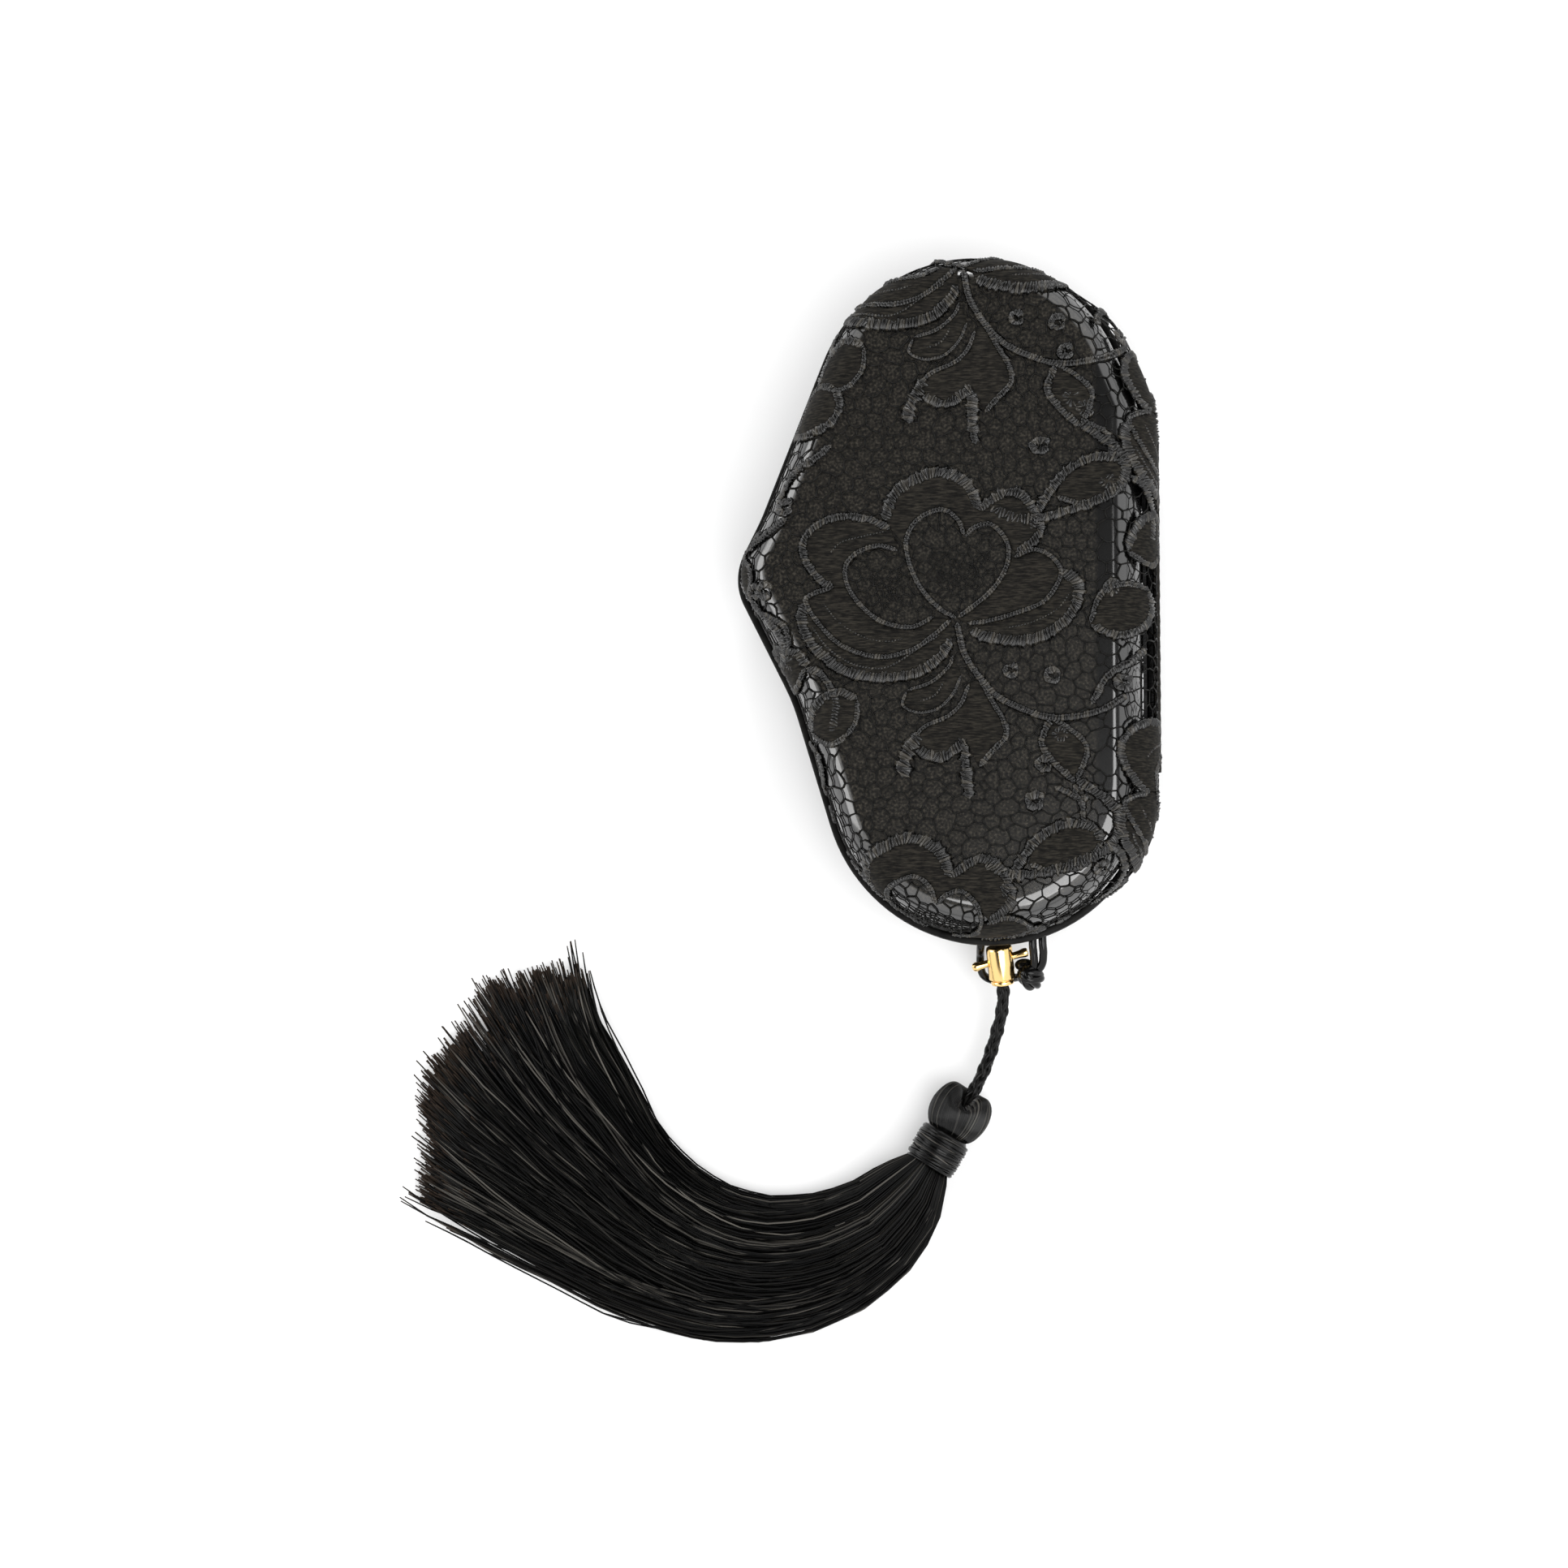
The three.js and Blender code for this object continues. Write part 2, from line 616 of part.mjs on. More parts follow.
// One lock: a tapered tube that lies beside its neighbours and ends in a blunt tip.
function skirtLock(k) {
  const place = (k + 0.5) / SKIRT_LOCKS - 0.5;
  const steps = SKIRT_SECTIONS.length - 2;
  const rings = [];
  for (let s = 0; s <= steps; s += 1) {
    const share = (LOCK_REACH[k] * s) / steps;
    const { middle, across, width, height } = skirtSection(share);
    const crown = Math.sqrt(1 - (2 * place) ** 2 * (1 - FAN_FLATNESS * share));
    const tip = s === steps ? TIP_SHARE : 1;
    const high = (height * crown * tip) / 2;
    const wide = (width / SKIRT_LOCKS / 2) * LOCK_OVERLAP * tip;
    const lift = THREE.MathUtils.lerp(BALL_RADIUS, high, Math.min(1, share / LANDING_SHARE));
    rings.push(lockRing(middle.addScaledVector(across, place * width), across, wide, high, lift));
  }
  return loft(rings);
}

function lockRing(middle, across, wide, high, lift) {
  const ring = [];
  for (let i = 0; i < LOCK_SIDES; i += 1) {
    const angle = (2 * Math.PI * (i + 0.5)) / LOCK_SIDES;
    const p = middle.clone().addScaledVector(across, wide * Math.cos(angle));
    ring.push(new THREE.Vector3(p.x, p.y, Math.max(LOCK_FLOOR, lift + high * Math.sin(angle))));
  }
  return ring;
}

// Arc length round the shoulder and down the side, as places on the bag's section.
function sectionPlace(distance) {
  const sideInset = WALL_INSET + SIDE_LEAN;
  const steps = 24;
  let last = { inset: FACE_INSET, height: SIDE_HEIGHT + SHOULDER_HEIGHT, out: 0, up: 1 };
  let gone = 0;
  for (let k = 1; k <= steps; k += 1) {
    const angle = (Math.PI / 2) * (1 - k / steps);
    const [a, b] = [FACE_INSET - sideInset, SHOULDER_HEIGHT];
    const slope = Math.hypot(b * Math.cos(angle), a * Math.sin(angle));
    const next = {
      inset: FACE_INSET - a * Math.cos(angle),
      height: SIDE_HEIGHT + b * Math.sin(angle),
      out: (b * Math.cos(angle)) / slope,
      up: (a * Math.sin(angle)) / slope,
    };
    const stretch = Math.hypot(next.inset - last.inset, next.height - last.height);
    if (gone + stretch >= distance) {
      return blendPlace(last, next, (distance - gone) / stretch);
    }
    gone += stretch;
    last = next;
  }
  return { ...last, height: last.height - (distance - gone) };
}

function blendPlace(a, b, share) {
  const place = {};
  for (const key of Object.keys(a)) {
    place[key] = THREE.MathUtils.lerp(a[key], b[key], share);
  }
  return place;
}

const faceEdge = ringAt(FACE_INSET, 0);

// Nearest place on the edge of the flat face: how far outside it lies and the way out.
function overEdge(x, y) {
  const point = new THREE.Vector2(x, y);
  let best = { distance: Infinity };
  for (let i = 0; i < faceEdge.length; i += 1) {
    const j = (i + 1) % faceEdge.length;
    const [a, b] = [faceEdge[i], faceEdge[j]].map((p) => new THREE.Vector2(p.x, p.y));
    const along = b.clone().sub(a);
    const share = THREE.MathUtils.clamp(point.clone().sub(a).dot(along) / along.lengthSq(), 0, 1);
    const foot = a.addScaledVector(along, share);
    const normal = outline[i].normal.clone().lerp(outline[j].normal, share).normalize();
    const offset = point.clone().sub(foot);
    if (offset.length() < best.distance) {
      best = { distance: offset.length(), foot, normal, side: offset.dot(normal) };
    }
  }
  return best.side > 0 ? best : { ...best, distance: 0 };
}

// Lays a flat point of the lace over the front face and its shoulders, raised by its own height.
function drape(x, y, z) {
  const lift = LACE_GAP + z;
  const edge = overEdge(x, y);
  if (edge.distance === 0) {
    return new THREE.Vector3(x, y, BAG_THICKNESS + lift);
  }
  const place = sectionPlace(edge.distance);
  const out = FACE_INSET - place.inset + place.out * lift;
  const p = edge.foot.clone().addScaledVector(edge.normal, out);
  return new THREE.Vector3(p.x, p.y, MIDDLE + place.height + place.up * lift);
}

// Flat ribbon with upright sides along one line of the lace, laid from a place in the plan.
function laceRibbon(line, place) {
  const unit = LACE_REPEAT / 100;
  const originX = FLOWER_SHARE[0] * BAG_WIDTH;
  const originY = FLOWER_SHARE[1] * BAG_LENGTH;
  const points = line.at.map(([x, y]) => (
    new THREE.Vector3(originX + (x + place.x) * unit, originY + (y + place.y) * unit, 0)
  ));
  const curve = new THREE.CatmullRomCurve3(points);
  const steps = Math.max(3, Math.ceil(curve.getLength() / LACE_STEP));
  const half = (LACE_CORD_WIDTH * line.wide) / 2;
  const up = new THREE.Vector3(0, 0, LACE_HEIGHT);
  const rings = [];
  for (let s = 0; s <= steps; s += 1) {
    const at = curve.getPointAt(s / steps);
    const tangent = curve.getTangentAt(s / steps);
    const side = new THREE.Vector3(-tangent.y, tangent.x, 0).multiplyScalar(half);
    const [left, right] = [at.clone().add(side), at.clone().sub(side)];
    rings.push([left, right, right.clone().add(up), left.clone().add(up)]);
  }
  return loft(rings);
}

function laceFront() {
  const edge = ringAt(FACE_INSET - LACE_DROP, 0).map((p) => new THREE.Vector2(p.x, p.y));
  const depth = 3 * LACE_HEIGHT;
  const sheet = new THREE.ExtrudeGeometry(new THREE.Shape(edge), { depth, bevelEnabled: false });
  sheet.translate(0, 0, -LACE_HEIGHT);
  const ribbons = LACE_PLAN.flatMap((place) => place.lines.map((line) => laceRibbon(line, place)));
  const flat = surface(join(ribbons).intersect(solid(sheet)));
  const position = flat.getAttribute('position');
  for (let i = 0; i < position.count; i += 1) {
    const p = drape(position.getX(i), position.getY(i), position.getZ(i));
    position.setXYZ(i, p.x, p.y, p.z);
  }
  return flat;
}

const materials = {
  shell: { color: 0x2e2d29, roughness: 0.22, metalness: 0 },
  lace: { color: 0x24221e, roughness: 0.75, metalness: 0 },
  gold: { color: 0xd9ae5a, roughness: 0.18, metalness: 1 },
  hinge: { color: 0x2a2a2a, roughness: 0.45, metalness: 1 },
  cord: { color: 0x14130f, roughness: 0.35, metalness: 0 },
  silk: { color: 0x1b1a18, roughness: 0.5, metalness: 0 },
};

function piece(name, geometry, finish) {
  const material = new THREE.MeshStandardMaterial({ ...materials[finish], flatShading: true });
  const mesh = new THREE.Mesh(closed(geometry), material);
  mesh.name = name;
  return mesh;
}

function toggle() {
  const group = new THREE.Group();
  group.position.set(...TOGGLE_PLACE);
  group.rotation.set(degrees(TOGGLE_DROOP), 0, degrees(TOGGLE_TURN), 'ZYX');
  group.add(piece('toggle_barrel', toggleBarrel(), 'gold'));
  group.add(piece('toggle_bar', barShape(), 'gold'));
  return group;
}

// Ball, collar and skirt lie on the floor along one axis. Its turn is measured from the X axis.
function tasselHead() {
  const group = new THREE.Group();
  group.position.set(...BALL_PLACE, BALL_RADIUS);
  group.rotation.z = degrees(TASSEL_TURN - 90);
  const collar = piece('tassel_collar', tasselCollar(), 'silk');
  collar.position.y = collarStart;
  group.add(piece('tassel_ball', tasselBall(), 'silk'), collar);
  return group;
}

function tasselSkirt() {
  const axis = new THREE.Vector2(Math.cos(degrees(TASSEL_TURN)), Math.sin(degrees(TASSEL_TURN)));
  const start = new THREE.Vector2(...BALL_PLACE).addScaledVector(axis, skirtStart - LOCK_START);
  const neckLength = COLLAR_LENGTH + 2 * LOCK_START;
  const neck = new THREE.CylinderGeometry(NECK_RADIUS, NECK_RADIUS, neckLength, 14)
    .translate(0, neckLength / 2 - LOCK_START, BALL_RADIUS)
    .rotateZ(degrees(TASSEL_TURN - 90));
  const locks = [];
  for (let k = 0; k < SKIRT_LOCKS; k += 1) {
    locks.push(skirtLock(k));
  }
  const mesh = piece('tassel_skirt', surface(join([neck, ...locks])), 'silk');
  mesh.position.set(start.x, start.y, 0);
  return mesh;
}

const clasp = new THREE.Group();
clasp.position.set(...claspPlace());
clasp.add(piece('cord_loop', cordLoop(), 'cord'), toggle());

const bag = new THREE.Group();
bag.add(
  piece('back_shell', backShell(), 'shell'),
  piece('back_rim', rim(-1), 'shell'),
  piece('back_hinge', hingeLeaf(-1), 'hinge'),
  piece('hinge_pin', hingePin(), 'hinge'),
  piece('front_shell', halfShell(1), 'shell'),
  piece('front_rim', rim(1), 'shell'),
  piece('front_hinge', hingeLeaf(1), 'hinge'),
  piece('lace_front', laceFront(), 'lace'),
  clasp,
);

const tassel = new THREE.Group();
tassel.position.set(clasp.position.x, clasp.position.y, 0);
tassel.add(
  piece('tassel_cord', tube(CORD_ROUTE, CORD_DIAMETER / 2, 8), 'silk'),
  tasselHead(),
  tasselSkirt(),
);

// The origin is under the middle of the bag with its clasp, on the surface it lies on.
bag.updateMatrixWorld(true);
const extent = new THREE.Box3().setFromObject(bag, true);
const middle = extent.getCenter(new THREE.Vector3());

const part = new THREE.Group();
part.position.set(-middle.x, -middle.y, -extent.min.z);
part.add(bag, tassel);

export default part;
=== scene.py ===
import math

import bpy
import numpy as np
from mathutils import Matrix, Vector
from mathutils.geometry import delaunay_2d_cdt


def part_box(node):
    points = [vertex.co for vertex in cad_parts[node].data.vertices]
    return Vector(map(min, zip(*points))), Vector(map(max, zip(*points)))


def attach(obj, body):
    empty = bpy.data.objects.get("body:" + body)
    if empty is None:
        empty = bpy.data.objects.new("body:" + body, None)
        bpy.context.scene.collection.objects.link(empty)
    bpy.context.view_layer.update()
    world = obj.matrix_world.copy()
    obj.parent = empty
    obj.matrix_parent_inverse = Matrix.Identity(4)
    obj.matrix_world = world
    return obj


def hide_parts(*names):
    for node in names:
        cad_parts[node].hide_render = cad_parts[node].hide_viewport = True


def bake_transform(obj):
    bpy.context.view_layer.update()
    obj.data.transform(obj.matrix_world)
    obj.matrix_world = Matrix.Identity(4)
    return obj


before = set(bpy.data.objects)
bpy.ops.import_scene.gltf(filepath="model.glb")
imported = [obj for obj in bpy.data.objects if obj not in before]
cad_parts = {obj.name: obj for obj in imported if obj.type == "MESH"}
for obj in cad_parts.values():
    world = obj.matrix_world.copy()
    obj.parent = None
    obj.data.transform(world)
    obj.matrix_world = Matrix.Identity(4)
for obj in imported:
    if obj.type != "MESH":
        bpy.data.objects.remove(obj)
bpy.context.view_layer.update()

# Lengths are in millimetres until they reach Blender. The spine runs along Y at x = 0.
MM = 0.001
rng = np.random.default_rng(7)

# Bag
BAG_LENGTH = 204.7
BAG_WIDTH = 122.0
BAG_THICKNESS = 48.0
SHELL_WALL = 2.5
CASE_DEPTH = 1.6
LINING_DEPTH = 1.75
LINING_RAISED = 0.4
SEAM_GAP = 0.3
SHOULDER_HEIGHT = 13.0
FACE_INSET = 11.5
SIDE_LEAN = 0.4
RIM_WIDTH = 2.2
RIM_HEIGHT = 2.4
WALL_INSET = 2.5
HINGE_LENGTH = 95.0
HINGE_MIDDLE = -2.5
HINGE_OUT = 0.3
COVER_RADII = (2.55, 2.25)
COVER_SWEEP = 1.25
COVER_STRETCH = 1.25
COVER_PAST_HINGE = 1.5
MIDDLE = BAG_THICKNESS / 2
SIDE_HEIGHT = MIDDLE - SHOULDER_HEIGHT
OUTLINE_STEP = 3.5
DOUBLED = 0.05
SHARP_ANGLE = math.radians(32)
BACK_SQUASH = 0.955

# Clasp
CLASP = np.array([-0.368 * BAG_WIDTH, -BAG_LENGTH / 2, MIDDLE])
BARREL_LENGTH = 10.0
BARREL_RADIUS = 3.9
BORE_RADIUS = 2.25
FOOT_LENGTH = 1.6
FOOT_RADIUS = 3.4
BAR_LENGTH = 17.0
BAR_ANGLE = 10.8
BAR_ABOVE_MIDDLE = 0.8
TOGGLE_PLACE = np.array([0, -4.55, -7.4])
TOGGLE_DROOP = 17.0
TOGGLE_TURN = 5.7
LOOP_DIAMETER = 2.4
KNOT_RADIUS = 4.2

# Tassel
CORD_END_SHARE = 0.74
BALL_RADIUS = 9.3
BALL_LENGTH = 15.0
BALL_PLACE = np.array([-12.5, -48.65])
BALL_THREADS = 104
BALL_RINGS = 34
BALL_RIDGE = 0.42
BALL_NOTCH = 5.2
BALL_SWEEP = math.radians(155)
BALL_RING_SHARE = 0.5
BALL_OUTER_SHARE = 0.96
BALL_TWIST = 0.14
BALL_SWAY = 0.05
BALL_WANDER = 0.12
NOTCH_WIDTH = 0.42
THREAD_SECTION = np.array([0, 0.8, 1, 0.8])
COLLAR_RADIUS = 7.0
COLLAR_LENGTH = 10.5
COLLAR_TURNS = 24
COLLAR_CROSSINGS = 12
COLLAR_THREAD = 0.3
COLLAR_LEAN = (0.03, 0.16)
COLLAR_SWELL = 0.4
CROSSING_RISE = 0.35
SKIRT_LENGTH = 180.0
LANDING_SHARE = 0.2
LOCK_START = 1.2
FIT_GAP = 0.3
TASSEL_TURN = 59.5
TIP_START = 0.982
TIP_LEAN = 0.022
TIP_COLOR = (0.03, 0.019, 0.012, 1)
CORE_END_SHARE = 0.87
SKIRT_FLATTENING = 0.6
THREAD_WAVES = (4, 11)
THREAD_BEND = 0.03
CLUMPS = 26
CLUMP_LEAN = 0.07
CLUMP_CUT = 0.013
CLUMP_PULL = 0.4
CROSSING_SHARE = 0.26
CROSSING_DRIFT = 0.24
LONG_SHARE = 0.04
LONG_REACH = (0.005, 0.02)
LOOSE_THREADS = 110
LOOSE_RADIUS = 0.27
# Name, number of threads, lowest and highest layer, and radius of the threads.
SKIRT_LAYERS = [("skirt_under", 950, -1, 0.55, 0.3), ("skirt_top", 1200, 0.45, 1, 0.28)]

# Lace
LACE_UNIT = 1.07
FLOWER_PLACE = np.array([-0.46 * BAG_WIDTH, -0.041 * BAG_LENGTH])
LACE_LIFT = 0.35
LACE_BULGE = 4.2
# The lace stands off the shell where it faces the spine and is this far past the flat face.
BULGE_FACING = (0.55, 0.95)
BULGE_DISTANCE = (3, 19)
HINGE_FACING = 0.7
HINGE_LIFT = 0.3
HINGE_SLOPE = 1.1
HINGE_MARGIN = 0.4
FLOOR_CLEAR = 0.03
CLOTH_LIFT = 0.25
CLOTH_PUFF = 0.45
CLOTH_THICKNESS = 0.22
CLOTH_CELL = 1.5
NET_CELL = 4.9
NET_JITTER = 0.27
FINE_CELL = 2
NET_THREAD = 0.24
NET_SWAY = 0.22
STITCH_PITCH = 0.92
STITCH_SLANT = math.radians(14)
STITCH_UNEVEN = 0.13
STITCH_LIFT = 0.08
# Heights of the four rows of a stitch, and places of its columns across the band.
ROW_HEIGHTS = np.array([0.1, 0.84, 1, 0.8])
ACROSS = np.array([-1, -0.62, 0, 0.62, 1])

# Heights above the seam between which the shell's colour turns from the painted black of the shoulders to
# the lighter grey of the face.
FACE_LEVELS = (22.2, 22.9)
# How far from the spine the black strip painted on the face ends, a painted dark reflection, on its way into
# the lighter face.
PAINTED_DARK_STRIP_EDGE = (-15, -16.6)

# Brightness of the room by the height of the direction, from level to straight up.
SKY = [(0, 0.7), (0.1, 1.35), (0.68, 1.35), (0.78, 0.1), (0.95, 0.04), (1, 0.05)]
# Way from the bag to the camera, the point that it looks at, its distance and the lit point, in metres.
CAMERA_WAY = (0.0787, -0.0928, 1)
CAMERA_TARGET = (-0.0485, -0.04775, 0.024)
CAMERA_DISTANCE = 1.289
LIT_MIDDLE = (-0.03, -0.03, 0.02)

# Corners of the bag's outline: shares of the width from the spine and of the length from the middle,
# and the fillet radius as a share of the width.
OUTLINE = [
    (-0.694, 0.5, 0.405), (-0.944, 0.12, 0.49), (-1.017, 0.032, 0.139), (-0.867, -0.147, 0.49),
    (-0.688, -0.5, 0.418), (0, -0.5, 0.398), (0, 0.268, 0.16), (-0.158, 0.5, 0.405),
]

# Sections of the skirt from the collar: the middle's x and y, the width and the height as shares of
# the skirt's length, and the way across to the inside of the curve in degrees.
SKIRT_SECTIONS = np.array([
    (0, 0, 0.078, 0.074, 140), (-0.029, -0.044, 0.135, 0.07, 128), (-0.085, -0.098, 0.17, 0.062, 123),
    (-0.153, -0.134, 0.2, 0.056, 116), (-0.228, -0.153, 0.226, 0.052, 110),
    (-0.305, -0.152, 0.254, 0.049, 103), (-0.379, -0.132, 0.283, 0.046, 95),
    (-0.446, -0.096, 0.31, 0.043, 88), (-0.505, -0.051, 0.342, 0.04, 80), (-0.561, 0.001, 0.371, 0.037, 74),
    (-0.618, 0.051, 0.402, 0.033, 69), (-0.67, 0.105, 0.441, 0.029, 63), (-0.717, 0.159, 0.497, 0.025, 58),
    (-0.782, 0.246, 0.56, 0.022, 50),
])

# How far along the sections the threads reach, from the outside of the curve to the inside.
THREAD_REACH = [0.904, 0.932, 0.964, 0.983, 0.992, 0.988, 0.96, 0.918, 0.862]

# Route of the tassel's cord from inside the barrel to inside the ball, from the floor under the bag's
# lower end.
CORD_ROUTE = np.array([
    (0.2, -6.95, 15.9), (0.4, -8.85, 15.3), (0.6, -10.85, 14.7), (0.7, -13.15, 14), (0.6, -15.65, 13),
    (0.3, -18.15, 11.9), (-0.2, -20.65, 10.8), (-0.9, -23.15, 9.8), (-1.6, -25.65, 9), (-2.4, -28.15, 8.4),
    (-3.2, -30.65, 8), (-4.1, -33.15, 7.8), (-5.1, -35.65, 7.8), (-6.2, -38.15, 8.1), (-7.4, -40.65, 8.6),
    (-8.8, -42.95, 9.1), (-10.2, -45.15, 9.3),
])

KNOT_PLACE = (8.8, -8.75, -9.2)
BEAD_PLACE = (7, -5.2, -9.4)
BEAD_SIZE = (2.9, 1.9, 2)
LOOP_ROUTES = [
    [
        (-5.5, 7.85, -4), (-5.5, 2.85, -4), (-5.7, 0.55, -4.8), (-5.9, -1.05, -7),
        (-6, -2.45, -9.2), (-6, -5.25, -10.4), (-5.3, -7.85, -11.8), (-3.1, -9.25, -13.8),
        (0.1, -9.45, -14.8), (3.7, -8.85, -13.6), (6.1, -8.65, -11.2), KNOT_PLACE,
    ],
    [(9.6, 10.35, -4), (9.6, 1.15, -4.1), (9.8, -1.65, -5.2), (9.9, -5.15, -6.8), KNOT_PLACE],
    [(12.3, 10.35, -4), (12.5, 1.35, -4.2), (12.7, -2.15, -5.6), (12, -5.65, -7.4), KNOT_PLACE],
]

# Lines of the lace, in hundredths of its repeat from the tip of a flower's heart.
HEART_LEFT = [
    (0, 0), (-4, 2), (-8.5, 6.5), (-12, 12.5), (-13.8, 19.6), (-12.7, 24.4), (-9.2, 28.1), (-3.7, 29.7),
    (0.4, 26.8), (2.2, 22.2),
]
HEART_RIGHT = [
    (2.2, 22.2), (4.6, 24.6), (8.6, 25.7), (11.6, 23.7), (13.8, 20.2), (14, 16), (12.3, 11.4), (8.8, 6.8),
    (3.7, 2.6), (0, 0),
]
SCALLOP_LEFT = [
    (-19.8, 26.8), (-16.9, 34.3), (-11.4, 38), (-5.7, 40), (0.4, 38.5), (4.4, 34.3), (5.7, 29.5),
]
SCALLOP_RIGHT = [
    (5.7, 29.5), (10, 32.5), (13.8, 34.3), (17.7, 33.5), (20.4, 30.4), (21.9, 26.9), (22.6, 23.4),
    (19.8, 19.9), (16, 17.8),
]
PETAL_RIGHT = [
    (15.3, 16.4), (20.9, 18.5), (25.4, 16.7), (28.2, 12.9), (27.2, 9), (23.3, 4.1), (15.3, 0.9),
    (7.6, -1.1), (2.6, -1.5),
]
SKIRT_RIGHT = [
    (28.2, 12.9), (32.7, 9), (32.4, 4.1), (29.5, -0.8), (24, -4.6), (17, -6.4), (10, -5.7), (3.3, -3.6),
]
PETAL_LEFT = [
    (-18, 24.5), (-24.3, 27.4), (-32.4, 28), (-38.7, 25.3), (-41.8, 21), (-41.1, 16.2), (-36.9, 10.5),
    (-33.4, 8.8),
]
PETAL_INNER = [
    (-15.9, 18.6), (-21.2, 20), (-27.1, 18.2), (-30.3, 14.4), (-29.6, 8.8), (-25.7, 3.2), (-20.1, -1),
    (-12.4, -2.4), (-6.2, 0.4),
]
CRESCENT_INNER = [
    (-33.4, 8.8), (-39, 7), (-41.1, 4.6), (-36.9, -2.1), (-30.6, -7.7), (-21.2, -10.5), (-12.4, -8.7),
    (-6.2, -4.5), (-1.5, -0.4),
]
CRESCENT_OUTER = [
    (-41.6, 4.6), (-42.3, -0.3), (-39.4, -6.6), (-34.2, -11.9), (-28.2, -15), (-19.4, -16), (-10.7, -14.7),
    (-5, -10.8), (-1.5, -5.6),
]
STEM = [
    (0, -1), (1.8, -9.2), (6, -16.2), (11.3, -21.8), (18.3, -25.3), (25.3, -27.4), (33, -27), (40, -25),
    (46, -21),
]
BRACT_UPPER = [(-1, -9.9), (-2.4, -13.4), (-7.3, -17.6), (-13.6, -19.7)]
BRACT_LOWER = [
    (1.1, -15.5), (-1, -20.4), (-4.5, -24.2), (-8, -25.6), (-11.5, -25.6), (-14.8, -23.6), (-13.6, -19.7),
]
LEAF_LEFT = [(3.3, -17.9), (1.1, -23.2), (-2.4, -26.7), (-8.7, -29.5), (-11.4, -32.3)]
LEAF_FOOT = [(-11.4, -36), (-5, -38), (0, -35.5), (2.2, -33)]
LEAF_RIGHT = [(6, -16.2), (9.6, -22.9), (12.4, -27.8), (13.1, -32.3), (9.6, -36.2), (5.7, -40.7)]
FLAME_LEFT = [(-10.6, -31), (-13.2, -36), (-14.6, -40), (-15, -43.5)]
FLAME_RIGHT = [(2, -34), (2.3, -39), (2.6, -44), (3.3, -49.5)]
DROP_LEFT = [(25.3, -27.4), (22.9, -34.4), (26.5, -40), (32, -45)]
DROP_RIGHT = [(25.3, -27.4), (31, -31), (35, -36), (32, -45)]
SIDE_LEAF = [(20, 24), (22, 29), (29, 39), (37, 43.5), (44, 43), (47, 39)]
SIDE_LEAF_FOOT = [(47, 39), (42, 33), (34, 31), (27, 33)]
SIDE_TWIG = [(47, 39), (52, 36), (55, 29), (54, 21)]
TOP_TWIG = [(34, 54), (41, 50), (42, 43)]
LOW_LEAF = [(32, -44), (43, -53), (41, -62), (28, -68), (16, -70), (7, -67)]
EDGE_LEAF = [(-33, 64), (-32, 58), (-36, 53), (-43, 51), (-50, 54)]
EDGE_LEAF_FOOT = [(-33, 64), (-40, 65), (-47, 62), (-50, 54)]
EDGE_TWIG = [(-34, 48), (-39, 44), (-45, 40), (-50, 32)]
LOW_EDGE_LEAF = [(-27, -22), (-33, -20), (-39, -24), (-42, -31)]
LOW_EDGE_FOOT = [(-27, -22), (-28, -29), (-34, -34), (-42, -31)]
LEFT_VEIN = [(-35, 17.5), (-31.5, 21), (-26, 22.5), (-19, 24)]
CRESCENT_VEIN = [(-36.5, 4.5), (-32, -1), (-25.5, -5), (-19, -6.3), (-14, -5.4)]
RIGHT_VEIN = [(31, 7), (27, 2), (20, -1.5), (13, -3)]
FOLD = [(-4.5, -4.5), (-10, -7.8), (-19, -13.3), (-28, -12.5), (-35, -8), (-39.5, -2)]
BRACT_VEIN = [(-3.5, -17), (-6, -21), (-10.5, -22.8)]

